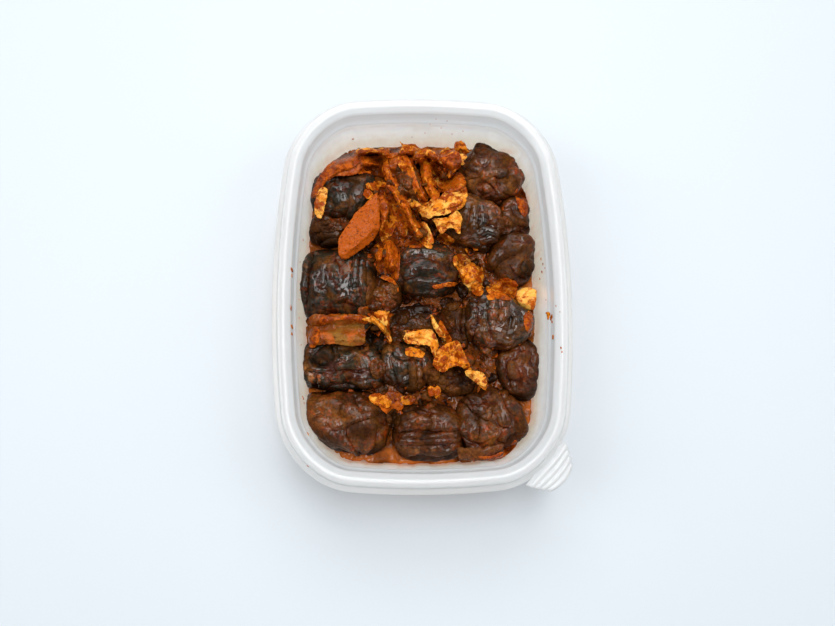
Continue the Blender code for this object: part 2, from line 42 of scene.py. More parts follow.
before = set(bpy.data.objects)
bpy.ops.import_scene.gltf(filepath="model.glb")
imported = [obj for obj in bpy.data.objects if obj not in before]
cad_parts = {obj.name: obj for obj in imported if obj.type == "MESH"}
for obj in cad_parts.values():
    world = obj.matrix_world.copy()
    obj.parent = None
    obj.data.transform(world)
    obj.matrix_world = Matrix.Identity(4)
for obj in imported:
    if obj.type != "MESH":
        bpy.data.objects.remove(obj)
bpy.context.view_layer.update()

MM = 0.001
PICTURE_SIZE = (835, 626)
PICTURE_LENS = 630.0
CAMERA_TURN = ((0.9994, 0.0006, -0.0350), (-0.0072, 0.9821, -0.1881), (0.0343, 0.1882, 0.9815))
CAMERA_PLACE = (-0.01331, -0.07038, 0.34013)
CAMERA_AT = Vector(CAMERA_PLACE)
LIGHTS_AIM = (0.0, 0.0, 0.03)
PIXEL_MM = 0.5
LAY_SOFTNESS = 3.0
STROKE_WIDTH = 1.25
STROKE_HEIGHT = 0.8
PUFF_SHOULDER = 2.2
# A point further out than the open middle is tested against the wall, by a ray that starts at a part of the
# way out to the point.
WALL_GAP = 0.15 * MM
OPEN_MIDDLE = 0.35
RAY_START = 0.4
SEARCHES = {}


def srgb(red, green, blue):
    """A colour in 0 to 255 as a linear one with full opacity."""
    parts = []
    for value in (red, green, blue):
        part = value / 255
        parts.append(part / 12.92 if part <= 0.04045 else ((part + 0.055) / 1.055) ** 2.4)
    return (*parts, 1.0)


def colour_input(name, description, value):
    """A colour that a user may change."""
    return bpy.props.FloatVectorProperty(
        name=name, description=description, subtype="COLOR", size=4, min=0.0, max=1.0, default=value)


def length_input(name, description, value):
    """A length in metres that a user may change."""
    return bpy.props.FloatProperty(
        name=name, description=description, subtype="DISTANCE", unit="LENGTH", default=value, precision=5)


def number_input(name, description, value):
    """A plain number that a user may change."""
    return bpy.props.FloatProperty(name=name, description=description, default=value)


def power_input(name, description, value):
    """A lamp's power in watts that a user may change."""
    return bpy.props.FloatProperty(name=name, description=description, subtype="POWER", default=value)


def count_input(name, description, value):
    """A whole number that a user may change."""
    return bpy.props.IntProperty(name=name, description=description, default=value, min=0)


class MealTubSettings(bpy.types.PropertyGroup):
    """Sizes and colours of the tub."""

    plastic: colour_input("Plastic", "Milky polypropylene", (0.975, 0.980, 0.962, 1.0))
    # Painted shade: this colour greys the stepped rim's ledge to stand in for the shade in its groove.
    ledge_shade: colour_input("Ledge", "Thicker, greyer plastic of the stepped rim", (0.71, 0.73, 0.715, 1.0))
    # Painted glow: an emission colour that stands in for light that comes through the thin wall; the tub is
    # no lamp.
    painted_glow: colour_input("Glow", "Light that comes through the thin wall", (1.0, 0.96, 0.86, 1.0))
    crest: colour_input("Crest", "Plastic of the rim's crest", (0.965, 0.985, 0.965, 1.0))
    stain: colour_input("Stain", "Oil film low on the walls", srgb(205, 110, 40))
    faint_stain: colour_input("Faint Stain", "Thin oil film higher up", srgb(214, 186, 142))
    flute_pitch: length_input("Flute Pitch", "Distance between the wall's flutes", 16.2 * MM)
    flute_width: length_input("Flute Width", "Width of one flute", 9.0 * MM)
    flute_depth: length_input("Flute Depth", "How far a flute is moulded outwards", 0.45 * MM)
    flute_top: length_input("Flute Top", "Height where the flutes end", 37.4 * MM)
    tab_ribs: count_input("Tab Ribs", "Grip ribs across the pull tab", 4)


class MealSkinSettings(bpy.types.PropertyGroup):
    """Sizes and colours of the sausage pieces."""

    brown: colour_input("Brown", "Cooked skin", srgb(88, 50, 15))
    blue_black: colour_input("Blue Black", "The darkest skin", srgb(40, 33, 21))
    # Pale also paints a highlight on the middle piece's far shoulder.
    pale: colour_input("Pale", "Thin skin with the meat behind it", srgb(138, 92, 50))
    purple: colour_input("Purple", "Skin with a purple cast", srgb(79, 43, 17))
    red: colour_input("Red", "Sauce that lies in the creases", srgb(132, 50, 7))
    voxel: length_input("Voxel", "Size of the faces that the skins are made of", 0.62 * MM)
    wrinkle_size: length_input("Wrinkle Size", "Distance between fine wrinkles", 1.9 * MM)
    wrinkle_depth: length_input("Wrinkle Depth", "Depth of fine wrinkles", 0.22 * MM)
    lump_size: length_input("Lump Size", "Width of the broad lumps", 9.0 * MM)
    swell: length_input("Swell", "How far the smoothed skins are pushed out again", 1.1 * MM)


class MealSauceSettings(bpy.types.PropertyGroup):
    """Sizes and colours of the sauce."""

    deep: colour_input("Deep", "Sauce in the shade between the pieces", (0.050, 0.010, 0.002, 1.0))
    pulp: colour_input("Pulp", "Soft pulp in the sauce", (0.14, 0.035, 0.004, 1.0))
    oil: colour_input("Oil", "Orange oil at the walls", (0.62, 0.17, 0.020, 1.0))
    lump_size: length_input("Lump Size", "Width of the lumps in the sauce", 3.6 * MM)
    lump_depth: length_input("Lump Depth", "Height of the lumps in the sauce", 1.3 * MM)


class MealVegetableSettings(bpy.types.PropertyGroup):
    """Sizes and colours of the vegetables."""

    cream: colour_input("Cream", "Cabbage that the sauce hasn't reached", srgb(248, 182, 84))
    amber: colour_input("Amber", "Cabbage soaked with oil", srgb(216, 128, 26))
    stain: colour_input("Stain", "Red sauce on the cabbage", srgb(150, 62, 6))
    char: colour_input("Char", "Dark specks of spice", srgb(70, 30, 8))
    carrot: colour_input("Carrot", "Cut face of the carrot", srgb(170, 78, 10))
    carrot_dark: colour_input("Dark Carrot", "Carrot in the sauce", srgb(132, 48, 4))
    onion: colour_input("Onion", "Soaked onion", srgb(122, 54, 6))
    onion_pale: colour_input("Pale Onion", "Onion that is still pale", srgb(136, 92, 34))
    onion_red: colour_input("Red Onion", "Onion skin in oil", srgb(172, 86, 30))
    shred: colour_input("Shred", "Carrot and onion shreds", srgb(184, 88, 14))
    voxel: length_input("Voxel", "Size of the faces that the leaves are made of", 0.42 * MM)


class MealBitSettings(bpy.types.PropertyGroup):
    """Counts of the loose bits."""

    crumbs: number_input("Crumbs", "Brown crumbs on a square millimetre of a gap", 0.025)
    scraps: number_input("Scraps", "Red scraps on a square millimetre of a gap", 0.03)
    flakes: number_input("Flakes", "Cabbage flakes on a square millimetre of a gap", 0.006)
    lumps: number_input("Lumps", "Brown lumps on a square millimetre of a gap", 0.010)
    seed: count_input("Seed", "Start of the random placing", 7)


class MealStageSettings(bpy.types.PropertyGroup):
    """Floor, lights and camera."""

    floor: colour_input("Floor", "Plain pale floor", (0.60, 0.655, 0.70, 1.0))
    sky: number_input("Sky", "Strength of the even light all round", 0.16)
    top: power_input("Top Light", "Power of the large soft light overhead", 8.8)
    far: power_input("Far Light", "Power of the large soft light beyond the tub", 8.4)
    left: power_input("Left Light", "Power of the soft light on the left", 4.8)
    right: power_input("Right Light", "Power of the soft light on the right", 3.4)
    near: power_input("Near Light", "Power of the soft light on the near side", 2.2)


# Trees of nodes


def add_node(tree, kind, values=None, **settings):
    """Add a node. A value is a number or colour for an input, or the socket that feeds it."""
    node = tree.nodes.new(kind)
    for name, setting in settings.items():
        setattr(node, name, setting)
    for name, value in (values or {}).items():
        socket = node.inputs[name]
        if isinstance(value, bpy.types.NodeSocket):
            tree.links.new(value, socket)
        else:
            socket.default_value = value
    return node


def maths(tree, operation, *values, clamp=False):
    """One step of arithmetic, shader or geometry alike."""
    node = add_node(tree, "ShaderNodeMath", dict(enumerate(values)), operation=operation, use_clamp=clamp)
    return node.outputs[0]


def times(tree, first, second, clamp=False):
    """The product of two values."""
    return maths(tree, "MULTIPLY", first, second, clamp=clamp)


def plus(tree, first, second):
    """The sum of two values."""
    return maths(tree, "ADD", first, second)


def minus(tree, first, second):
    """What is left of a value when another is taken from it."""
    return maths(tree, "SUBTRACT", first, second)


def vector_maths(tree, operation, *values):
    """One step of arithmetic on vectors."""
    node = add_node(tree, "ShaderNodeVectorMath", operation=operation)
    for index, value in enumerate(values):
        socket = node.inputs["Scale"] if operation == "SCALE" and index == 1 else node.inputs[index]
        if isinstance(value, bpy.types.NodeSocket):
            tree.links.new(value, socket)
        else:
            socket.default_value = value
    return node.outputs["Value"] if operation in ("LENGTH", "DOT_PRODUCT") else node.outputs["Vector"]


def smooth_step(tree, value, low, high, start=0.0, end=1.0):
    """A smooth step from one number to another as a value goes from low to high."""
    node = add_node(
        tree, "ShaderNodeMapRange",
        {"Value": value, "From Min": low, "From Max": high, "To Min": start, "To Max": end},
        interpolation_type="SMOOTHSTEP")
    return node.outputs["Result"]


def blend_colours(tree, part, first, second, how="MIX"):
    """A mix of two colours."""
    node = tree.nodes.new("ShaderNodeMix")
    node.data_type = "RGBA"
    node.blend_type = how
    for index, value in ((0, part), (6, first), (7, second)):
        if isinstance(value, bpy.types.NodeSocket):
            tree.links.new(value, node.inputs[index])
        else:
            node.inputs[index].default_value = value
    return node.outputs[2]


def darken(tree, colour, shade):
    """A colour times a grey shade."""
    grey = add_node(tree, "ShaderNodeCombineXYZ", {0: shade, 1: shade, 2: shade}).outputs[0]
    return blend_colours(tree, 1.0, colour, grey, "MULTIPLY")


def upright_part(tree, vector):
    """A place's height, or how far a normal points up."""
    return add_node(tree, "ShaderNodeSeparateXYZ", {"Vector": vector}).outputs["Z"]


def read_mark(tree, name):
    """The numbers that are stored under a name on a mesh's points."""
    return add_node(tree, "ShaderNodeAttribute", attribute_name=name).outputs["Fac"]


def noise_value(tree, vector, scale, detail=2.0, roughness=0.5, distortion=0.0):
    """Even noise from 0 to 1, and its colour as three such numbers."""
    node = add_node(tree, "ShaderNodeTexNoise", {
        "Vector": vector, "Scale": scale, "Detail": detail, "Roughness": roughness, "Distortion": distortion})
    return node.outputs[0], node.outputs["Color"]


def socket_kind(value):
    """The kind of socket that fits a value."""
    if isinstance(value, tuple):
        return "Color" if len(value) == 4 else "Vector"
    return {bool: "Bool", int: "Int", float: "Float"}[type(value)]


def new_group(name, kind, inputs, outputs):
    """A node group with named sockets. An input has its first value or, without one, its kind as a word."""
    tree = bpy.data.node_groups.new(name, kind)
    for label, value in inputs.items():
        socket = value if isinstance(value, str) else socket_kind(value)
        item = tree.interface.new_socket(label, in_out="INPUT", socket_type="NodeSocket" + socket)
        if socket is not value:
            item.default_value = value
    for label, socket in outputs.items():
        tree.interface.new_socket(label, in_out="OUTPUT", socket_type="NodeSocket" + socket)
    return tree, tree.nodes.new("NodeGroupInput").outputs, tree.nodes.new("NodeGroupOutput")


def new_material(name, shader_values):
    """A material with one Principled shader, whose even values are set on its own sockets."""
    material = bpy.data.materials.new(name)
    material.use_nodes = True
    tree = material.node_tree
    shader = tree.nodes["Principled BSDF"]
    for label, value in shader_values.items():
        shader.inputs[label].default_value = value
    coordinates = tree.nodes.new("ShaderNodeTexCoord").outputs["Object"]
    return material, tree, shader, coordinates


def fill_group(tree, group, values):
    """Place a shader group and set its inputs."""
    node = tree.nodes.new("ShaderNodeGroup")
    node.node_tree = group
    for label, value in values.items():
        if isinstance(value, bpy.types.NodeSocket):
            tree.links.new(value, node.inputs[label])
        else:
            node.inputs[label].default_value = value
    return node


def set_bump(tree, shader, height, distance, strength):
    """Feed a height to the shader's normal."""
    bump = add_node(tree, "ShaderNodeBump", {"Height": height, "Strength": strength, "Distance": distance})
    tree.links.new(bump.outputs["Normal"], shader.inputs["Normal"])


def feed_shader(tree, shader, made, coat, distance, strength):
    """Feed a shader with what a group of the food puts out."""
    tree.links.new(made.outputs["Color"], shader.inputs["Base Color"])
    tree.links.new(made.outputs["Rough"], shader.inputs["Roughness"])
    tree.links.new(times(tree, made.outputs["Wet"], coat, clamp=True), shader.inputs["Coat Weight"])
    set_bump(tree, shader, made.outputs["Height"], distance, strength)


# Meshes


def new_piece(name, shape, material=None):
    """Make an object from an editable mesh, with smooth faces that point outwards."""
    bmesh.ops.recalc_face_normals(shape, faces=shape.faces)
    mesh = bpy.data.meshes.new(name)
    shape.to_mesh(mesh)
    shape.free()
    mesh.shade_smooth()
    if material is not None:
        mesh.materials.append(material)
    thing = bpy.data.objects.new(name, mesh)
    bpy.context.scene.collection.objects.link(thing)
    return thing


def add_modifier(thing, kind, **settings):
    """Add one modifier."""
    modifier = thing.modifiers.new(kind.title(), kind)
    for name, value in settings.items():
        setattr(modifier, name, value)


def copy_of_node(node, name, voxel):
    """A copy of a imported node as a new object, its doubles merged, with modifiers that round it and give it
    even faces."""
    shape = bmesh.new()
    shape.from_mesh(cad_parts[node].data)
    bmesh.ops.remove_doubles(shape, verts=shape.verts, dist=0.01 * MM)
    thing = new_piece(name, shape)
    add_modifier(thing, "SUBSURF", levels=2, render_levels=2)
    add_modifier(thing, "REMESH", mode="VOXEL", voxel_size=voxel)
    return thing


def add_tree(thing, tree, values):
    """Add a tree of geometry nodes, its inputs set by their identifiers."""
    modifier = thing.modifiers.new(tree.name, "NODES")
    modifier.node_group = tree
    for item in tree.interface.items_tree:
        if item.item_type == "SOCKET" and item.in_out == "INPUT" and item.name in values:
            modifier[item.identifier] = values[item.name]


def apply_modifiers(thing):
    """Replace an object's mesh with its evaluated one."""
    bpy.context.view_layer.update()
    evaluated = thing.evaluated_get(bpy.context.evaluated_depsgraph_get())
    mesh = bpy.data.meshes.new_from_object(evaluated)
    mesh.name = thing.name
    thing.modifiers.clear()
    old = thing.data
    thing.data = mesh
    bpy.data.meshes.remove(old)
    return thing


def finish_piece(thing, slot, *nodes):
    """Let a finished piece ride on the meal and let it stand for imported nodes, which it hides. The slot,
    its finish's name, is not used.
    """
    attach(thing, "root")
    if nodes:
        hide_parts(*nodes)


def keep_inside(thing):
    """Draw in what a swollen or crumpled piece would push through the tub's wall or floor."""
    if "wall" not in SEARCHES:
        SEARCHES["wall"] = search_tree([bpy.data.objects["tub_shell"]])
    for vertex in thing.data.vertices:
        place = vertex.co
        place.z = max(place.z, FLOOR_TOP + WALL_GAP)
        if (place.x / CREST_HALF_WIDTH) ** 4 + (place.y / CREST_HALF_LENGTH) ** 4 < OPEN_MIDDLE:
            continue
        out = Vector((place.x, place.y, 0.0))
        start = Vector((place.x * RAY_START, place.y * RAY_START, place.z))
        hit = SEARCHES["wall"].ray_cast(start, out)
        room = (1 - RAY_START) * out.length + WALL_GAP
        if hit[0] is not None and hit[3] < room:
            place.xy -= out.xy.normalized() * (room - hit[3])
    thing.data.update()
    return thing


def search_tree(things):
    """A tree that finds where a line meets the given objects' meshes."""
    vertices = []
    faces = []
    for thing in things:
        base = len(vertices)
        vertices += [v.co.copy() for v in thing.data.vertices]
        faces += [tuple(base + index for index in polygon.vertices) for polygon in thing.data.polygons]
    return BVHTree.FromPolygons(vertices, faces)


# Places in the picture


def read_rows(text):
    """Read rows that semicolons part. Each gives its words and numbers, then its picture points."""
    rows = []
    for row in text.split(";"):
        plain, spots = [], []
        for word in row.split():
            if "," in word:
                spots.append(tuple(float(part) for part in word.split(",")))
            else:
                plain.append(float(word) if word[0].isdigit() else word)
        rows.append((*plain, spots))
    return rows


DAB_TONES = ("red", "dark", "pale", "wet")
DAB_STRENGTH = {"red": 0.6, "dark": 0.6, "pale": 0.6, "wet": 1.0, "oil": 1.0}
CAMERA = np.array(CAMERA_PLACE)


def picture_ray(across, down):
    """The way in which the camera sees a point of the picture."""
    aim = Vector((across - PICTURE_SIZE[0] / 2, PICTURE_SIZE[1] / 2 - down, -PICTURE_LENS))
    return (Matrix(CAMERA_TURN) @ aim).normalized()


def seen_places(points):
    """Where the picture shows points: across and down."""
    turned = (points - CAMERA) @ np.array(CAMERA_TURN)
    across = PICTURE_SIZE[0] / 2 - PICTURE_LENS * turned[:, 0] / turned[:, 2]
    down = PICTURE_SIZE[1] / 2 + PICTURE_LENS * turned[:, 1] / turned[:, 2]
    return np.stack((across, down), axis=1)


def smooth_line(points, steps, closed=False):
    """A smooth line through points, with a number of steps from each one to the next."""
    count = len(points)
    points = np.array(points, dtype=float)
    line = []
    for index in range(count if closed else count - 1):
        if closed:
            before, start, end, after = (points[(index + shift) % count] for shift in (-1, 0, 1, 2))
        else:
            before, start = points[max(0, index - 1)], points[index]
            end, after = points[index + 1], points[min(count - 1, index + 2)]
        for step in range(steps):
            t = step / steps
            line.append(0.5 * (2 * start + (end - before) * t
                               + (2 * before - 5 * start + 4 * end - after) * t ** 2
                               + (3 * start - before - 3 * end + after) * t ** 3))
    if not closed:
        line.append(points[-1])
    return np.array(line)


def line_distance(spots, line):
    """How far each spot is from a line, and on which side of it the spot lies."""
    best = np.full(len(spots), np.inf)
    side = np.zeros(len(spots))
    for start, end in zip(line, line[1:]):
        along = end - start
        off = spots - start
        part = np.clip(off @ along / max(along @ along, 1e-9), 0, 1)
        gap = off - part[:, None] * along
        distance = np.hypot(gap[:, 0], gap[:, 1])
        nearer = distance < best
        best = np.where(nearer, distance, best)
        side = np.where(nearer, np.sign(along[0] * off[:, 1] - along[1] * off[:, 0]), side)
    return best, side


def read_points(mesh, what):
    """Three numbers of each of a mesh's points, such as its place."""
    values = np.empty(len(mesh.vertices) * 3)
    mesh.vertices.foreach_get(what, values)
    return values.reshape(-1, 3)


def mark_points(mesh, name, values):
    """Store one number for each point of a mesh."""
    mark = mesh.attributes.new(name, "FLOAT", "POINT")
    mark.data.foreach_set("value", values.astype(np.float32))


def facing_camera(places, normals):
    """How far each point faces the camera, from 0 to 1."""
    towards = CAMERA - places
    towards /= np.linalg.norm(towards, axis=1)[:, None]
    return np.clip(((towards * normals).sum(axis=1) - 0.05) / 0.3, 0, 1)


def carve(thing, strokes):
    """Press creases and raise ridges and flaps in a skin where the picture shows them.

    A stroke is its kind, its width and height in millimetres, and the picture points that it runs through.
    A flap stands up on the right hand of its line and throws a crease on the left.
    """
    mesh = thing.data
    places, normals = read_points(mesh, "co"), read_points(mesh, "normal")
    spots, facing = seen_places(places), facing_camera(places, normals)
    offset = np.zeros(len(places))
    carved = np.zeros(len(places))
    for kind, width, height, points in strokes:
        distance, side = line_distance(spots, smooth_line(points, 4))
        distance = distance * PIXEL_MM / (width * STROKE_WIDTH)
        height *= STROKE_HEIGHT
        near = np.exp(-distance ** 2)
        if kind == "crease":
            offset -= height * near
            carved = np.maximum(carved, near)
        elif kind == "ridge":
            offset += height * near
        else:
            offset += np.where(side > 0, height * np.exp(-distance / 3), -0.5 * height * near)
            carved = np.maximum(carved, np.where(side > 0, 0, near))
    places += normals * (offset * facing * MM)[:, None]
    mesh.vertices.foreach_set("co", places.ravel())
    # The carved mark lowers the stored crease, so these creases get painted shade and red sauce in the skin's
    # colour.
    mark_points(mesh, "carved", 0.6 * carved * facing)
    mesh.update()


def dab(thing, dabs):
    """Mark patches of a skin. A dab is its tone, its half width and half height in the picture, its strength
    and its one picture point."""
    mesh = thing.data
    places = read_points(mesh, "co")
    spots = seen_places(places)
    facing = facing_camera(places, read_points(mesh, "normal"))
    marks = {}
    for tone, half_width, half_height, strength, [(across, down)] in dabs:
        spread = ((spots[:, 0] - across) / half_width) ** 2 + ((spots[:, 1] - down) / half_height) ** 2
        strength *= DAB_STRENGTH[tone]
        marks[tone] = np.maximum(marks.get(tone, 0), strength * np.exp(-spread * 0.8) * facing)
    for tone, values in marks.items():
        mark_points(mesh, tone + "_dab", values)


def lay_sheet(shape, outline, support, style, seed):
    """Add a closed sheet whose edge is seen at the outline's picture points, and which lies on what is there.

    Its style is a row of LAY_STYLES, and its seed makes its waves its own.
    """
    spacing, lift, thickness, puff, wave, wave_size, curl = style
    length = np.linalg.norm(np.diff(np.array(outline + outline[:1], dtype=float), axis=0), axis=1).mean()
    edge = smooth_line(outline, max(1, round(length / spacing)), closed=True)
    low, high = edge.min(axis=0), edge.max(axis=0)
    rows = np.arange(low[1], high[1], spacing * 0.87)
    grid = np.array([(x + spacing / 2 * (index % 2), y) for index, y in enumerate(rows)
                     for x in np.arange(low[0], high[0] + spacing, spacing)])
    ring = np.vstack((edge, edge[:1]))
    grid = grid[line_distance(grid, ring)[0] > spacing * 0.6]
    spots = [Vector(spot) for spot in np.vstack((edge, grid))]
    count = len(edge)
    links = [(index, (index + 1) % count) for index in range(count)]
    spots, _, faces, _, _, _ = delaunay_2d_cdt(spots, links, [], 1, 1e-4)
    rays = [picture_ray(*spot) for spot in spots]
    spots = np.array([tuple(spot) for spot in spots])
    reach = []
    for ray in rays:
        hit = support.ray_cast(Vector(CAMERA_PLACE), ray)
        reach.append(np.nan if hit[0] is None else hit[3])
    reach = np.array(reach)
    known = ~np.isnan(reach)
    if not known.any():
        raise RuntimeError("a laid piece has nothing under it")
    apart = np.linalg.norm(spots[:, None] - spots[None, known], axis=2)
    near = np.exp(-(apart / LAY_SOFTNESS) ** 2) + 1e-9
    mean = near @ reach[known] / near.sum(axis=1)
    reach = np.where(known, np.minimum(np.nan_to_num(reach), mean), mean) - lift * MM
    inwards = np.clip(line_distance(spots, ring)[0] * PIXEL_MM / PUFF_SHOULDER, 0, 1)
    rise = np.sqrt(1 - (1 - inwards) ** 2)
    tops, bottoms = [], []
    for ray, spot, distance, part in zip(rays, spots, reach, rise):
        where = Vector((spot[0], spot[1], seed * 37.0)) * PIXEL_MM / wave_size
        bend = noise.noise(where)
        sharp = 1 - 2 * abs(noise.noise(where * 1.7 + Vector((0.0, 0.0, 9.1))))
        height = wave * (bend + 0.6 * sharp) + curl * (1 - part) * (0.6 + 0.8 * bend)
        tops.append(shape.verts.new(CAMERA_AT + ray * (distance - (height + puff * part) * MM)))
        bottoms.append(shape.verts.new(CAMERA_AT + ray * (distance - (height - thickness) * MM)))
    used = {}
    for face in faces:
        shape.faces.new([tops[index] for index in face])
        shape.faces.new([bottoms[index] for index in reversed(face)])
        for first, second in zip(face, face[1:] + face[:1]):
            used[frozenset((first, second))] = used.get(frozenset((first, second)), []) + [(first, second)]
    for ways in used.values():
        if len(ways) == 1:
            first, second = ways[0]
            shape.faces.new((tops[second], tops[first], bottoms[first], bottoms[second]))


# The tub's outline and section, which the sauce follows too

CREST_HALF_WIDTH = 65.0 * MM
CREST_HALF_LENGTH = 90.5 * MM
CREST_CORNER_RADIUS = 27.2 * MM
LONG_SIDE_BOW = 7.3 * MM
SHORT_SIDE_BOW = 4.6 * MM
OUTLINE_POINTS = 620
FLOOR_TOP = 1.5 * MM
WALL_LEVELS = (8.0, 9.0, 10.5, 12.0, 14.0, 16.0, 18.0, 20.0, 22.0, 24.0, 26.0, 28.0, 30.0, 31.5, 33.0, 34.0,
               35.0, 36.0, 36.7, 37.4, 38.1, 39.0)
WALL_FOOT = (-6.0 * MM, 8.0 * MM)
WALL_HEAD = (-3.6 * MM, 39.9 * MM)
INNER_FOOT = [(-15.0, 1.5), (-10.0, 2.3), (-7.2, 4.6)]
INNER_HEAD = [(-3.6, 39.9), (-3.0, 40.8), (-2.6, 42.0), (-2.3, 47.4), (-1.8, 48.2), (-0.4, 49.4)]
RIM = [(0.3, 50.0), (3.0, 50.0), (3.7, 49.4), (4.4, 45.6), (5.0, 45.1), (6.8, 44.8), (7.3, 44.2), (7.2, 43.4),
       (6.6, 43.4), (6.3, 43.9), (4.3, 44.3), (3.5, 45.2), (2.8, 49.1), (0.6, 49.1), (-0.9, 47.8)]
OUTER_HEAD = [(-1.4, 47.0), (-1.7, 42.2), (-2.7, 39.7)]
OUTER_FOOT = [(-6.0, 4.0), (-8.4, 1.0), (-10.6, 0.0), (-16.0, 0.0), (-16.8, 0.6)]
TAB_ROOT = Vector((55.5, -84.0)) * MM
TAB_DIRECTION = Vector((0.72, -0.69)).normalized()
TAB_REACH = 12.3 * MM
TAB_ROOT_WIDTH = 27.0 * MM
TAB_TOP = 44.75 * MM
TAB_THICKNESS = 0.9 * MM
TAB_RIB_HEIGHT = 0.45 * MM
TAB_NARROWING = 0.48
TAB_END_BOW = 0.16
TAB_PLAIN_ROOT = 0.12
SAUCE_EDGE = [(-15.4, 1.85), (-10.3, 2.75), (-7.7, 4.9), (-6.25, 8.2)]
SAUCE_EDGE_TOP = 15.6 * MM
SAUCE_RINGS = 84


def crest_outline(count):
    """Points spaced evenly along the crest line, their outward normals, and the way between them."""
    steps = 120
    straight_x = CREST_HALF_WIDTH - CREST_CORNER_RADIUS
    straight_y = CREST_HALF_LENGTH - CREST_CORNER_RADIUS
    quadrant = [Vector((CREST_HALF_WIDTH, straight_y * step / steps)) for step in range(steps)]
    for step in range(steps + 1):
        angle = math.pi / 2 * step / steps
        offset = Vector((math.cos(angle), math.sin(angle))) * CREST_CORNER_RADIUS
        quadrant.append(Vector((straight_x, straight_y)) + offset)
    quadrant += [Vector((straight_x * (1 - step / steps), CREST_HALF_LENGTH)) for step in range(1, steps)]
    loop = quadrant + [Vector((0.0, CREST_HALF_LENGTH))]
    loop += [Vector((-p.x, p.y)) for p in reversed(quadrant)]
    loop += [Vector((-p.x, -p.y)) for p in quadrant[1:]]
    loop.append(Vector((0.0, -CREST_HALF_LENGTH)))
    loop += [Vector((p.x, -p.y)) for p in reversed(quadrant[1:])]
    for p in loop:
        pull_x = 1 - LONG_SIDE_BOW / CREST_HALF_WIDTH * (p.y / CREST_HALF_LENGTH) ** 2
        pull_y = 1 - SHORT_SIDE_BOW / CREST_HALF_LENGTH * (p.x / CREST_HALF_WIDTH) ** 2
        p.x, p.y = p.x * pull_x, p.y * pull_y
    lengths = [(loop[(index + 1) % len(loop)] - p).length for index, p in enumerate(loop)]
    step = sum(lengths) / count
    points = []
    travelled = 0.0
    for index, p in enumerate(loop):
        while len(points) < count and len(points) * step <= travelled + lengths[index]:
            part = (len(points) * step - travelled) / lengths[index]
            points.append(p.lerp(loop[(index + 1) % len(loop)], part))
        travelled += lengths[index]
    normals = []
    for index in range(count):
        along = points[(index + 1) % count] - points[index - 1]
        normals.append(Vector((along.y, -along.x)).normalized())
    return points, normals, step


OUTLINE, OUTLINE_NORMALS, OUTLINE_STEP = crest_outline(OUTLINE_POINTS)


def wall_offset(height):
    """The smooth inner wall's distance outwards from the crest line at a height."""
    part = (height - WALL_FOOT[1]) / (WALL_HEAD[1] - WALL_FOOT[1])
    return WALL_FOOT[0] + (WALL_HEAD[0] - WALL_FOOT[0]) * part


def ease(value, low, high):
    """A smooth step from 0 to 1."""
    part = min(1.0, max(0.0, (value - low) / (high - low)))
    return part * part * (3 - 2 * part)


def flute_part(index, height, tub):
    """How deep in a flute a point of the wall lies, from 0 to 1."""
    pitches = round(OUTLINE_STEP * OUTLINE_POINTS / tub.flute_pitch)
    place = (index / OUTLINE_POINTS * pitches + 0.5) % 1.0 - 0.5
    pitch = OUTLINE_STEP * OUTLINE_POINTS / pitches
    across = 1 - ease(abs(place) * pitch, tub.flute_width / 2 - 0.9 * MM, tub.flute_width / 2 + 0.9 * MM)
    up = ease(height, 5.0 * MM, 9.0 * MM)
    return across * up * (1 - ease(height, tub.flute_top - 1.6 * MM, tub.flute_top))


def ring_at(offset, height, tub):
    """One ring of the tub's skin."""
    ring = []
    for index, (point, normal) in enumerate(zip(OUTLINE, OUTLINE_NORMALS)):
        depth = tub.flute_depth * flute_part(index, height, tub)
        place = point + normal * (offset + depth)
        ring.append(Vector((place.x, place.y, height)))
    return ring


def loft(rings):
    """An editable skin through rings of equal count, closed at both ends."""
    shape = bmesh.new()
    rows = [[shape.verts.new(p) for p in ring] for ring in rings]
    count = len(rows[0])
    for low, high in zip(rows, rows[1:]):
        for index in range(count):
            after = (index + 1) % count
            shape.faces.new((low[index], low[after], high[after], high[index]))
    for row, ring in ((rows[0], rings[0]), (rows[-1], rings[-1])):
        hub = shape.verts.new(sum(ring, Vector()) / count)
        for index in range(count):
            shape.faces.new((row[index], row[(index + 1) % count], hub))
    return shape


def rounded_section(points):
    """A section with its corners cut back a little."""
    cut = [points[0]]
    for (a, b), (c, d) in zip(points, points[1:]):
        cut += [(a * 0.78 + c * 0.22, b * 0.78 + d * 0.22), (a * 0.22 + c * 0.78, b * 0.22 + d * 0.78)]
    return cut + [points[-1]]


def tub_section():
    """The tub's whole section, as (distance outwards, height)."""
    inner = [(wall_offset(z * MM) / MM, z) for z in WALL_LEVELS]
    outer = [(x + 0.9, z) for x, z in reversed(inner)]
    points = INNER_FOOT + inner + INNER_HEAD + RIM + OUTER_HEAD + outer + OUTER_FOOT
    return [(x * MM, z * MM) for x, z in rounded_section(points)]


# Materials


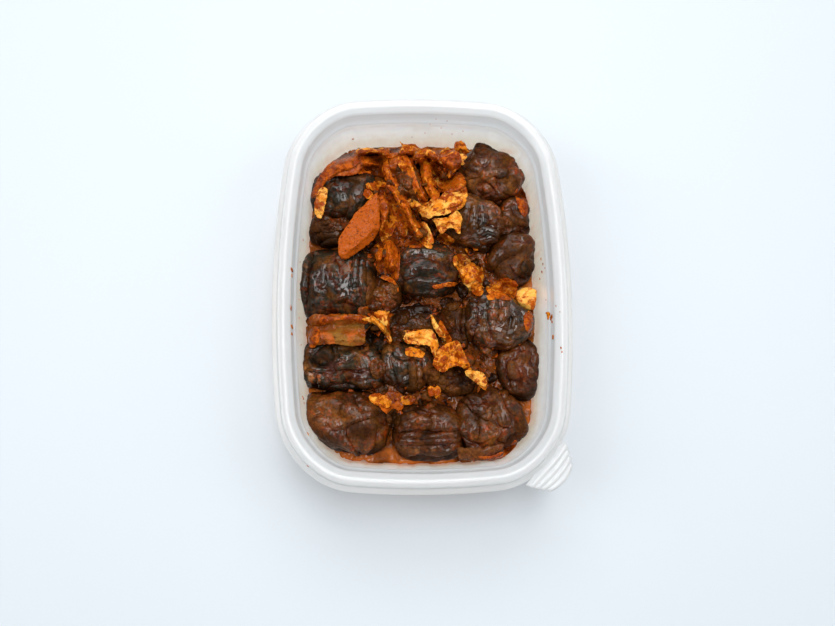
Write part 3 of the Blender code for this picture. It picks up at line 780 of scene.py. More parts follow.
def plastic_material(tub):
    """Milky plastic, with an oil film that is strongest just above the food, painted glow low down and
    painted shade on the ledge.
    """
    material, tree, shader, place = new_material("milky_plastic", {
        "Roughness": 0.34, "IOR": 1.49, "Specular IOR Level": 0.5, "Coat Weight": 0.25,
        # The emission is a painted glow, standing in for light that comes through the thin wall.
        "Coat Roughness": 0.12, "Emission Strength": 0.16, "Subsurface Weight": 0.9,
        "Subsurface Scale": 0.022, "Subsurface Radius": (1.0, 1.0, 0.95)})
    height = upright_part(tree, place)
    streaks, _ = noise_value(tree, vector_maths(tree, "MULTIPLY", place, (1.0, 1.0, 0.35)), 140.0, 4.0, 0.6)
    patches, _ = noise_value(tree, place, 38.0, 3.0, 0.55)
    low = smooth_step(tree, plus(tree, height, times(tree, streaks, -0.010)), 0.0225, 0.0135)
    haze = smooth_step(tree, plus(tree, height, times(tree, patches, -0.030)), 0.024, 0.004)
    left = vector_maths(tree, "SUBTRACT", place, (-0.0625, -0.010, 0.026))
    left = vector_maths(tree, "LENGTH", vector_maths(tree, "MULTIPLY", left, (60.0, 32.0, 60.0)))
    left = times(tree, smooth_step(tree, left, 1.1, 0.1), smooth_step(tree, patches, 0.25, 0.6))
    haze = maths(tree, "MAXIMUM", times(tree, haze, 0.9), times(tree, left, 0.9))
    colour = blend_colours(tree, haze, tub.plastic, tub.faint_stain)
    colour = blend_colours(tree, times(tree, low, 0.8), colour, tub.stain)
    oil = read_mark(tree, "oil_dab")
    thin = smooth_step(tree, plus(tree, oil, times(tree, streaks, 0.3)), 0.15, 0.75)
    thick = smooth_step(tree, plus(tree, oil, times(tree, streaks, 0.5)), 0.75, 1.15)
    colour = blend_colours(tree, times(tree, thin, 0.8), colour, tub.faint_stain)
    colour = blend_colours(tree, times(tree, thick, 0.9), colour, tub.stain)
    colour = blend_colours(tree, smooth_step(tree, height, 0.0470, 0.0482), colour, tub.crest)
    # Painted shade: the band from the wall's top to the crest is greyed to stand in for the shade in the
    # rim's groove.
    ledge_shade = smooth_step(tree, height, 0.0385, 0.0402)
    ledge_shade = times(tree, ledge_shade, smooth_step(tree, height, 0.0478, 0.0466))
    colour = blend_colours(tree, times(tree, ledge_shade, 0.85), colour, tub.ledge_shade)
    tree.links.new(colour, shader.inputs["Base Color"])
    # Painted glow: below the ledge the tub emits its own colour times the glow colour.
    wall = smooth_step(tree, height, 0.0400, 0.0385)
    painted_glow = blend_colours(tree, wall, (0.0, 0.0, 0.0, 1.0), tub.painted_glow)
    tree.links.new(blend_colours(tree, 1.0, colour, painted_glow, "MULTIPLY"), shader.inputs["Emission Color"])
    grain, _ = noise_value(tree, place, 900.0, 2.0)
    set_bump(tree, shader, grain, 0.02 * MM, 0.25)
    return material


def deep_shade(tree, place, darkest, low, high):
    """Painted shade: how much darker a piece is made low down between its neighbours, where shade and sauce
    gather.
    """
    return smooth_step(tree, upright_part(tree, place), low * MM, high * MM, darkest, 1.0)


FOOD_OUTPUTS = {"Color": "Color", "Wet": "Float", "Rough": "Float", "Height": "Float"}


def skin_group():
    """Cooked skin: patches of three colours, red in the creases, painted shade in the creases and low down,
    wet sheen and fine wrinkles.
    """
    tree, given, result = new_group("Cooked Skin", "ShaderNodeTree", {
        "Place": "Vector", "Crease": 0.5, "First": (0.1, 0.04, 0.02, 1.0), "Second": (0.03, 0.03, 0.03, 1.0),
        "Red": (0.3, 0.05, 0.01, 1.0), "Dark": (0.02, 0.02, 0.02, 1.0), "Pale": (0.3, 0.15, 0.05, 1.0),
        "Second Share": 0.5, "Red Share": 0.5, "Patch Scale": 110.0,
        "Red Dab": 0.0, "Dark Dab": 0.0, "Pale Dab": 0.0, "Wet Dab": 0.0}, FOOD_OUTPUTS)
    place = given["Place"]
    patch, _ = noise_value(tree, place, given["Patch Scale"], 3.0, 0.6, 0.4)
    share = minus(tree, 0.86, times(tree, given["Second Share"], 0.72))
    second = smooth_step(tree, patch, minus(tree, share, 0.09), plus(tree, share, 0.09))
    colour = blend_colours(tree, second, given["First"], given["Second"])
    speck, _ = noise_value(tree, place, 420.0, 4.0, 0.65)
    blotch, _ = noise_value(tree, place, 95.0, 2.0, 0.5)
    valley = smooth_step(tree, given["Crease"], 0.62, 0.12)
    red = times(tree, smooth_step(tree, speck, 0.46, 0.66), smooth_step(tree, blotch, 0.38, 0.62))
    red = maths(tree, "MAXIMUM", red, times(tree, valley, smooth_step(tree, blotch, 0.30, 0.52)))
    red = times(tree, red, given["Red Share"], clamp=True)
    fray = times(tree, minus(tree, speck, 0.5), 1.1)

    def frayed(dab):
        return smooth_step(tree, plus(tree, given[dab], fray), 0.34, 0.66)

    colour = blend_colours(tree, frayed("Dark Dab"), colour, given["Dark"])
    colour = blend_colours(tree, frayed("Pale Dab"), colour, given["Pale"])
    red = maths(tree, "MAXIMUM", red, frayed("Red Dab"))
    colour = blend_colours(tree, red, colour, given["Red"])
    # Painted shade: darker in the creases, varied at random by two noises, and darker low down between the
    # pieces.
    shade = smooth_step(tree, given["Crease"], 0.0, 0.60, 0.20, 1.0)
    fine, _ = noise_value(tree, place, 750.0, 3.0, 0.6)
    shade = times(tree, shade, smooth_step(tree, fine, 0.25, 0.75, 0.50, 1.50))
    broad, _ = noise_value(tree, place, 55.0, 3.0, 0.6, 0.5)
    shade = times(tree, shade, smooth_step(tree, broad, 0.36, 0.64, 0.48, 1.36))
    shade = times(tree, shade, deep_shade(tree, place, 0.16, 19.0, 30.0))
    colour = darken(tree, colour, shade)
    wet = smooth_step(tree, blotch, 0.42, 0.56, 0.05, 1.0)
    wet = plus(tree, wet, times(tree, given["Wet Dab"], 2.0))
    rough = smooth_step(tree, fine, 0.3, 0.7, 0.30, 0.52)
    height = plus(tree, fine, times(tree, speck, 1.4))
    for label, socket in zip(FOOD_OUTPUTS, (colour, wet, rough, height)):
        tree.links.new(socket, result.inputs[label])
    return tree


def skin_material(name, group, skin, first, second, second_share, red_share, patch_scale, coat):
    """One finish of cooked skin."""
    material, tree, shader, place = new_material(name, {
        "IOR": 1.34, "Specular IOR Level": 0.12, "Coat Roughness": 0.10, "Coat IOR": 1.42,
        "Subsurface Weight": 0.0})
    values = {"Place": place, "Crease": read_mark(tree, "crease"), "First": first, "Second": second,
              "Red": skin.red, "Dark": skin.blue_black, "Pale": skin.pale,
              "Second Share": second_share, "Red Share": red_share, "Patch Scale": patch_scale}
    for tone in DAB_TONES:
        values[tone.title() + " Dab"] = read_mark(tree, tone + "_dab")
    feed_shader(tree, shader, fill_group(tree, group, values), coat, 0.07 * MM, 0.5)
    return material


def stain_group():
    """Vegetable soaked in sauce: three colours by two noises, dark specks, wet sheen, painted shade in the
    hollows and low down.
    """
    tree, given, result = new_group("Sauce Stain", "ShaderNodeTree", {
        "Place": "Vector", "Crease": 1.0, "Pale": (0.9, 0.5, 0.15, 1.0), "Soaked": (0.6, 0.2, 0.03, 1.0),
        "Stain": (0.3, 0.05, 0.01, 1.0), "Specks": (0.05, 0.02, 0.01, 1.0), "Soaked Share": 0.5,
        "Stain Share": 0.4, "Speck Share": 0.3, "Patch Scale": 150.0}, FOOD_OUTPUTS)
    place = given["Place"]
    broad, _ = noise_value(tree, place, given["Patch Scale"], 2.0, 0.55, 0.3)
    moved = vector_maths(tree, "ADD", place, (0.31, 0.17, 0.05))
    other, _ = noise_value(tree, moved, times(tree, given["Patch Scale"], 1.6), 4.0, 0.62, 0.6)
    fine, _ = noise_value(tree, place, 900.0, 3.0, 0.6)
    limit = minus(tree, 0.80, times(tree, given["Soaked Share"], 0.60))
    soaked = smooth_step(tree, broad, minus(tree, limit, 0.12), plus(tree, limit, 0.12))
    valley = smooth_step(tree, given["Crease"], 0.50, 0.10)
    colour = blend_colours(tree, maths(tree, "MAXIMUM", soaked, valley), given["Pale"], given["Soaked"])
    limit = minus(tree, 0.82, times(tree, given["Stain Share"], 0.60))
    stained = smooth_step(tree, other, minus(tree, limit, 0.07), plus(tree, limit, 0.07))
    colour = blend_colours(tree, stained, colour, given["Stain"])
    limit = minus(tree, 0.84, times(tree, given["Speck Share"], 0.45))
    speckled = smooth_step(tree, fine, limit, plus(tree, limit, 0.06))
    speckled = times(tree, speckled, smooth_step(tree, other, 0.35, 0.60))
    colour = blend_colours(tree, speckled, colour, given["Specks"])
    # Painted shade: darker in the hollows and low down between the pieces.
    shade = smooth_step(tree, given["Crease"], 0.0, 0.6, 0.35, 1.0)
    shade = times(tree, shade, deep_shade(tree, place, 0.40, 17.0, 26.0))
    colour = darken(tree, colour, shade)
    wet = smooth_step(tree, broad, 0.35, 0.6, 0.2, 0.9)
    rough = smooth_step(tree, fine, 0.3, 0.7, 0.32, 0.58)
    height = plus(tree, fine, times(tree, other, 1.5))
    for label, socket in zip(FOOD_OUTPUTS, (colour, wet, rough, height)):
        tree.links.new(socket, result.inputs[label])
    return tree


def soaked_material(name, group, colours, shares, patch_scale, coat, see_through):
    """One finish of soaked vegetable. Colours are pale, soaked, stain and specks."""
    material, tree, shader, place = new_material(name, {
        "IOR": 1.40, "Specular IOR Level": 0.08, "Coat Roughness": 0.10, "Coat IOR": 1.34,
        "Subsurface Weight": see_through, "Subsurface Scale": 0.0015, "Subsurface Radius": (1.0, 0.45, 0.15)})
    values = {"Place": place, "Crease": read_mark(tree, "crease"), "Patch Scale": patch_scale}
    values.update(zip(("Pale", "Soaked", "Stain", "Specks"), colours))
    values.update(zip(("Soaked Share", "Stain Share", "Speck Share"), shares))
    feed_shader(tree, shader, fill_group(tree, group, values), 0.7 * coat, 0.12 * MM, 0.6)
    return material


# Each finish of skin: name, two colours, share of the second, share of red, scale of the patches, and coat.
SKIN_FINISHES = {
    "brown": ("brown_skin", "brown purple", 0.5, 0.7, 120.0, 0.55),
    "dark": ("dark_skin", "brown blue_black", 0.60, 0.6, 100.0, 0.62),
    "purple": ("purple_skin", "purple brown", 0.4, 0.6, 90.0, 0.52),
    "glossy": ("glossy_skin", "brown blue_black", 0.45, 0.55, 110.0, 0.95),
    "crumbly": ("crumbly_meat", "brown red", 0.35, 0.8, 200.0, 0.20),
}
# Each finish of vegetable: name, pale, soaked, stain and speck colours, shares of the last three, scale of
# the patches, coat, and how much light goes under its surface.
SOAKED_FINISHES = {
    "cabbage": ("soaked_cabbage", "cream amber stain char", (0.50, 0.48, 0.50), 150.0, 0.6, 0.25),
    "cabbage_red": ("reddened_cabbage", "cream amber stain char", (0.75, 0.58, 0.5), 170.0, 0.6, 0.25),
    "cabbage_plain": ("pale_cabbage", "cream cream shred char", (0.3, 0.52, 0.20), 110.0, 0.6, 0.25),
    "carrot": ("soaked_carrot", "carrot carrot carrot_dark char", (0.4, 0.30, 0.62), 160.0, 0.35, 0.25),
    "carrot_dark": ("dark_carrot", "carrot_dark carrot stain char", (0.4, 0.5, 0.4), 160.0, 0.6, 0.25),
    "onion": ("soaked_onion", "onion_pale onion onion_red char", (0.62, 0.35, 0.15), 70.0, 0.9, 0.5),
    "onion_red": ("red_onion", "onion_red onion stain char", (0.3, 0.45, 0.1), 90.0, 1.0, 0.5),
    "mass": ("soaked_mass", "shred onion red char", (0.5, 0.5, 0.6), 200.0, 0.8, 0.25),
    "shred": ("soaked_shred", "shred amber stain char", (0.35, 0.5, 0.3), 220.0, 0.8, 0.25),
    "crumb": ("brown_crumb", "brown purple red blue_black", (0.4, 0.4, 0.4), 240.0, 0.7, 0.0),
    "scrap": ("red_scrap", "stain deep shred char", (0.5, 0.35, 0.4), 240.0, 0.8, 0.25),
    "flake": ("amber_flake", "amber shred stain char", (0.5, 0.45, 0.4), 240.0, 0.7, 0.25),
}


def make_finishes():
    """Build every finish of the food once, by name."""
    scene = bpy.context.scene
    skin = scene.meal_skin

    def colours(names):
        places = (scene.meal_vegetables, skin, scene.meal_sauce)
        return [next(getattr(place, name) for place in places if hasattr(place, name))
                for name in names.split()]

    made = {}
    cooked, soaked = skin_group(), stain_group()
    for finish, (name, names, *values) in SKIN_FINISHES.items():
        made[finish] = skin_material(name, cooked, skin, *colours(names), *values)
    for finish, (name, names, *values) in SOAKED_FINISHES.items():
        made[finish] = soaked_material(name, soaked, colours(names), *values)
    return made


FINISHES = {}


def finish_named(name):
    """One finish of the food, made the first time that any is asked for."""
    if not FINISHES:
        FINISHES.update(make_finishes())
    return FINISHES[name]


def sauce_material(sauce, vegetables):
    """Thick red sauce with pulp and painted shade in its hollows, which turns to clear orange oil at the
    walls.
    """
    material, tree, shader, place = new_material("red_sauce", {
        "IOR": 1.42, "Specular IOR Level": 0.05, "Coat Roughness": 0.07, "Coat IOR": 1.33,
        "Subsurface Weight": 0.2, "Subsurface Scale": 0.001, "Subsurface Radius": (1.0, 0.3, 0.1)})
    oily, crease = read_mark(tree, "oily"), read_mark(tree, "crease")
    broad, _ = noise_value(tree, place, 90.0, 3.0, 0.6, 0.5)
    fine, _ = noise_value(tree, place, 420.0, 4.0, 0.65)
    # Painted shade: the hollows of the sauce's lumps take the deep colour, darker than the pulp.
    colour = blend_colours(tree, smooth_step(tree, crease, 0.25, 0.8), sauce.deep, sauce.pulp)
    colour = blend_colours(tree, smooth_step(tree, fine, 0.56, 0.66), colour, vegetables.stain)
    oily = times(tree, oily, smooth_step(tree, broad, 0.34, 0.6))
    colour = blend_colours(tree, oily, colour, sauce.oil)
    tree.links.new(colour, shader.inputs["Base Color"])
    tree.links.new(smooth_step(tree, fine, 0.35, 0.65, 0.14, 0.4), shader.inputs["Roughness"])
    tree.links.new(smooth_step(tree, broad, 0.3, 0.55, 0.1, 0.6), shader.inputs["Coat Weight"])
    set_bump(tree, shader, fine, 0.15 * MM, 0.25)
    return material


# Trees of geometry nodes


def end_tree(tree, given, result, moved, crease):
    """End a tree of geometry nodes: store the crease, smooth the faces and set the material."""
    stored = add_node(tree, "GeometryNodeStoreNamedAttribute", {
        "Geometry": moved.outputs[0], "Name": "crease", "Value": crease}, data_type="FLOAT", domain="POINT")
    smooth = add_node(tree, "GeometryNodeSetShadeSmooth", {"Geometry": stored.outputs[0]})
    painted = add_node(tree, "GeometryNodeSetMaterial", {
        "Geometry": smooth.outputs[0], "Material": given["Material"]})
    tree.links.new(painted.outputs[0], result.inputs["Geometry"])
    return tree


def wrinkle_tree():
    """Lumps, folds and wrinkles pushed into a closed skin along its normals."""
    tree, given, result = new_group("Wrinkled Skin", "GeometryNodeTree", {
        "Geometry": "Geometry", "Turn": 0.0, "Stretch": (1.0, 1.0, 1.0), "Variety": (0.0, 0.0, 0.0),
        "Lump Size": 9.0 * MM, "Lump Depth": 1.0 * MM, "Fold Size": 5.0 * MM, "Fold Depth": 1.0 * MM,
        "Wrinkle Size": 1.9 * MM, "Wrinkle Depth": 0.3 * MM, "Swell": 0.0, "Rough": 0.6 * MM,
        "Material": "Material"}, {"Geometry": "Geometry"})
    position = tree.nodes.new("GeometryNodeInputPosition").outputs[0]
    turned = add_node(tree, "ShaderNodeVectorRotate", {"Vector": position, "Angle": given["Turn"]},
                      rotation_type="Z_AXIS").outputs["Vector"]
    place = vector_maths(tree, "ADD", turned, given["Variety"])

    def per(size):
        return maths(tree, "DIVIDE", 1.0, size)

    lump, _ = noise_value(tree, place, per(given["Lump Size"]), 1.5)
    lump = times(tree, minus(tree, lump, 0.5), times(tree, given["Lump Depth"], 2.6))

    def folded(size, stretch, bend, detail):
        _, drift = noise_value(tree, place, times(tree, per(size), 0.55), 1.0)
        drift = vector_maths(tree, "SCALE", vector_maths(tree, "SUBTRACT", drift, (0.5, 0.5, 0.5)),
                             times(tree, size, bend))
        spot = vector_maths(tree, "MULTIPLY", vector_maths(tree, "ADD", place, drift), stretch)
        value, _ = noise_value(tree, spot, per(size), detail, 0.45)
        value = maths(tree, "ABSOLUTE", minus(tree, value, 0.5))
        value = maths(tree, "POWER", times(tree, value, 8.0, clamp=True), 0.6)
        fading, _ = noise_value(tree, vector_maths(tree, "ADD", place, (0.5, 0.2, 0.1)),
                                times(tree, per(size), 0.45), 1.0)
        fading = smooth_step(tree, fading, 0.36, 0.58)
        return minus(tree, 1.0, times(tree, minus(tree, 1.0, value), fading))

    fold = folded(given["Fold Size"], given["Stretch"], 2.4, 0.6)
    wrinkle = folded(given["Wrinkle Size"], given["Stretch"], 1.6, 1.0)
    offset = plus(tree, lump, times(tree, minus(tree, fold, 0.82), given["Fold Depth"]))
    offset = plus(tree, offset, times(tree, minus(tree, wrinkle, 0.75), given["Wrinkle Depth"]))
    rough, _ = noise_value(tree, place, 1 / (1.5 * MM), 3.0, 0.6)
    offset = plus(tree, offset, times(tree, minus(tree, rough, 0.5), given["Rough"]))
    normal = tree.nodes.new("GeometryNodeInputNormal").outputs[0]
    upward = upright_part(tree, normal)
    offset = times(tree, offset, smooth_step(tree, upward, -0.5, 0.3, 0.3, 1.0))
    offset = plus(tree, offset, given["Swell"])
    moved = add_node(tree, "GeometryNodeSetPosition", {
        "Geometry": given["Geometry"], "Offset": vector_maths(tree, "SCALE", normal, offset)})
    crease = times(tree, fold, plus(tree, times(tree, wrinkle, 0.5), 0.5))
    # A carved place has a lower crease, which the skin's colour turns into painted shade and red sauce.
    carved = add_node(tree, "GeometryNodeInputNamedAttribute", {"Name": "carved"}, data_type="FLOAT")
    crease = times(tree, crease, minus(tree, 1.0, carved.outputs[0]))
    return end_tree(tree, given, result, moved, crease)


def hollows(tree, offset):
    """How far an offset has pushed each point out of the face, from 0 to 1."""
    normal = tree.nodes.new("GeometryNodeInputNormal").outputs[0]
    return smooth_step(tree, vector_maths(tree, "DOT_PRODUCT", offset, normal), -0.6 * MM, 0.3 * MM)


def crumple_tree():
    """A thin leaf bent and crumpled, both of its faces alike, because the noise only depends on the place."""
    tree, given, result = new_group("Crumpled Leaf", "GeometryNodeTree", {
        "Geometry": "Geometry", "Variety": (0.0, 0.0, 0.0), "Bend Size": 6.0 * MM,
        "Bend": (1.5 * MM, 1.5 * MM, 2.0 * MM), "Crumple Size": 2.4 * MM,
        "Crumple": (0.6 * MM, 0.6 * MM, 0.8 * MM), "Material": "Material"}, {"Geometry": "Geometry"})
    position = tree.nodes.new("GeometryNodeInputPosition").outputs[0]
    place = vector_maths(tree, "ADD", position, given["Variety"])
    flat = vector_maths(tree, "MULTIPLY", place, (1.0, 1.0, 0.3))
    offset = None
    for size, depth, detail in (("Bend Size", "Bend", 1.0), ("Crumple Size", "Crumple", 2.0)):
        _, drift = noise_value(tree, flat, maths(tree, "DIVIDE", 1.0, given[size]), detail)
        drift = vector_maths(tree, "SUBTRACT", drift, (0.5, 0.5, 0.5))
        drift = vector_maths(tree, "MULTIPLY", vector_maths(tree, "SCALE", drift, 2.6), given[depth])
        offset = drift if offset is None else vector_maths(tree, "ADD", offset, drift)
    moved = add_node(tree, "GeometryNodeSetPosition", {"Geometry": given["Geometry"], "Offset": offset})
    return end_tree(tree, given, result, moved, hollows(tree, offset))


def scatter_tree():
    """Loose scraps laid at random over a surface, each one turned, sized and bent in its own way."""
    tree, given, result = new_group("Scattered Scraps", "GeometryNodeTree", {
        "Geometry": "Geometry", "Density": 1.0e5, "Seed": 1, "Size": (3.0 * MM, 1.5 * MM, 0.8 * MM),
        "Least Size": 0.5, "Lift": 0.3 * MM, "Tilt": 0.7, "Bend Size": 3.0 * MM, "Bend": 1.0 * MM,
        "Round": False, "Material": "Material"}, {"Geometry": "Geometry"})
    wanted = add_node(tree, "GeometryNodeInputNamedAttribute", {"Name": "gap"}, data_type="FLOAT").outputs[0]
    points = add_node(tree, "GeometryNodeDistributePointsOnFaces", {
        "Mesh": given["Geometry"], "Seed": given["Seed"],
        "Density": times(tree, given["Density"], wanted)})
    block = add_node(tree, "GeometryNodeMeshCube", {
        "Size": (1.0, 1.0, 1.0), "Vertices X": 6, "Vertices Y": 4, "Vertices Z": 3}).outputs["Mesh"]
    ball = add_node(tree, "GeometryNodeMeshIcoSphere", {"Radius": 0.5, "Subdivisions": 2}).outputs["Mesh"]
    shape = add_node(tree, "GeometryNodeSwitch", {"Switch": given["Round"], "False": block, "True": ball},
                     input_type="GEOMETRY").outputs[0]
    least = vector_maths(tree, "SCALE", (-1.0, -1.0, 0.0), given["Tilt"])
    most = vector_maths(tree, "SCALE", (1.0, 1.0, 0.0), given["Tilt"])
    most = vector_maths(tree, "ADD", most, (0.0, 0.0, 6.283))
    turn = add_node(tree, "FunctionNodeRandomValue", {0: least, 1: most, "Seed": given["Seed"]},
                    data_type="FLOAT_VECTOR")
    scale = add_node(tree, "FunctionNodeRandomValue", {
        2: given["Least Size"], 3: 1.0, "Seed": plus(tree, given["Seed"], 3.0)}, data_type="FLOAT").outputs[1]
    placed = add_node(tree, "GeometryNodeInstanceOnPoints", {
        "Points": points.outputs["Points"], "Instance": shape, "Rotation": turn.outputs[0],
        "Scale": vector_maths(tree, "SCALE", given["Size"], scale)})
    real = add_node(tree, "GeometryNodeRealizeInstances", {"Geometry": placed.outputs[0]}).outputs[0]
    position = tree.nodes.new("GeometryNodeInputPosition").outputs[0]
    _, drift = noise_value(tree, position, maths(tree, "DIVIDE", 1.0, given["Bend Size"]), 1.5)
    drift = vector_maths(tree, "SCALE", vector_maths(tree, "SUBTRACT", drift, (0.5, 0.5, 0.5)),
                         times(tree, given["Bend"], 3.0))
    lift = add_node(tree, "ShaderNodeCombineXYZ", {2: given["Lift"]}).outputs[0]
    moved = add_node(tree, "GeometryNodeSetPosition", {
        "Geometry": real, "Offset": vector_maths(tree, "ADD", drift, lift)})
    return end_tree(tree, given, result, moved, hollows(tree, drift))


def tree_named(name, builder):
    """A tree of geometry nodes, built the first time that it is asked for."""
    return bpy.data.node_groups.get(name) or builder()


# Tables of the pieces

# Each skin: turn in degrees, stretch of its folds, lump depth, fold size and depth in millimetres, finish.
SKINS = {
    "sausage_far_left": (10, (1.0, 0.8, 1.0), 1.0, 4.6, 0.9, "dark"),
    "sausage_far_right": (-30, (1.0, 1.0, 1.0), 2.0, 6.5, 1.7, "brown"),
    "sausage_upper_right": (70, (1.0, 0.55, 1.0), 1.2, 6.0, 1.1, "glossy"),
    "sausage_right_edge": (70, (1.0, 0.6, 1.0), 1.4, 5.5, 1.4, "brown"),
    "sausage_right": (60, (1.0, 0.5, 1.0), 1.6, 8.0, 1.3, "brown"),
    "sausage_left": (4, (1.0, 0.5, 1.0), 1.4, 7.0, 0.7, "dark"),
    "sausage_middle": (2, (0.5, 1.0, 1.0), 1.4, 7.0, 0.7, "dark"),
    "sausage_glossy": (65, (1.0, 0.8, 1.0), 1.8, 6.5, 0.9, "glossy"),
    "casing_fold_glossy": (5, (1.0, 0.6, 1.0), 1.2, 5.0, 1.4, "brown"),
    "sausage_lower_right": (8, (1.0, 0.5, 1.0), 1.2, 9.0, 1.0, "purple"),
    "sausage_lower_left": (-6, (0.6, 1.0, 1.0), 1.6, 7.5, 1.6, "dark"),
    "sausage_centre_low": (75, (0.6, 1.0, 1.0), 1.2, 5.0, 1.2, "glossy"),
    "sausage_near_left": (-12, (0.7, 1.0, 1.0), 1.8, 9.0, 1.7, "brown"),
    "sausage_near_middle": (0, (0.5, 1.0, 1.0), 1.2, 7.0, 1.2, "purple"),
    "sausage_near_right": (20, (1.0, 1.0, 1.0), 1.8, 7.0, 1.6, "brown"),
    "sausage_scrap": (-8, (1.0, 1.0, 1.0), 1.6, 5.0, 1.5, "brown"),
    "sausage_sunk": (5, (1.0, 1.0, 1.0), 1.4, 6.0, 1.2, "brown"),
    "sausage_end_far": (30, (1.0, 1.0, 1.0), 0.5, 5.0, 0.5, "brown"),
    "sausage_crumb_far": (0, (1.0, 1.0, 1.0), 1.6, 3.4, 1.6, "crumbly"),
    "sausage_crumb_left": (20, (1.0, 1.0, 1.0), 1.6, 3.2, 1.8, "crumbly"),
    "casing_fold_left": (-15, (1.0, 0.6, 1.0), 1.4, 4.6, 1.5, "brown"),
}
CHUNKS = ("cabbage_lump_middle", "cabbage_lump_left")

# Each leaf: the number that its crumples start from, bend across and up, crumple across and up, in
# millimetres, and finish.
LEAVES = {
    "cabbage_far_strip": (2, 1.2, 0.8, 0.4, 0.5, "cabbage"),
    "shred_far_left": (3, 0.6, 0.5, 0.2, 0.2, "shred"),
    "shred_far_middle": (4, 0.6, 0.5, 0.2, 0.2, "shred"),
    "onion_strip_far": (5, 0.6, 0.5, 0.2, 0.2, "onion_red"),
    "shred_low_left": (13, 0.7, 0.5, 0.2, 0.2, "shred"),
    "shred_low_right": (14, 0.7, 0.5, 0.2, 0.2, "shred"),
    "cabbage_white_strip": (16, 0.6, 0.5, 0.2, 0.2, "cabbage_plain"),
    "cabbage_root": (18, 1.0, 0.8, 0.4, 0.4, "cabbage"),
    "shred_long": (19, 0.6, 0.5, 0.2, 0.2, "shred"),
    "cabbage_thin_strip": (20, 0.6, 0.5, 0.2, 0.2, "cabbage"),
    "shred_middle": (22, 0.6, 0.5, 0.2, 0.2, "cabbage"),
    "casing_near": (27, 1.2, 0.8, 0.6, 0.7, "purple"),
}

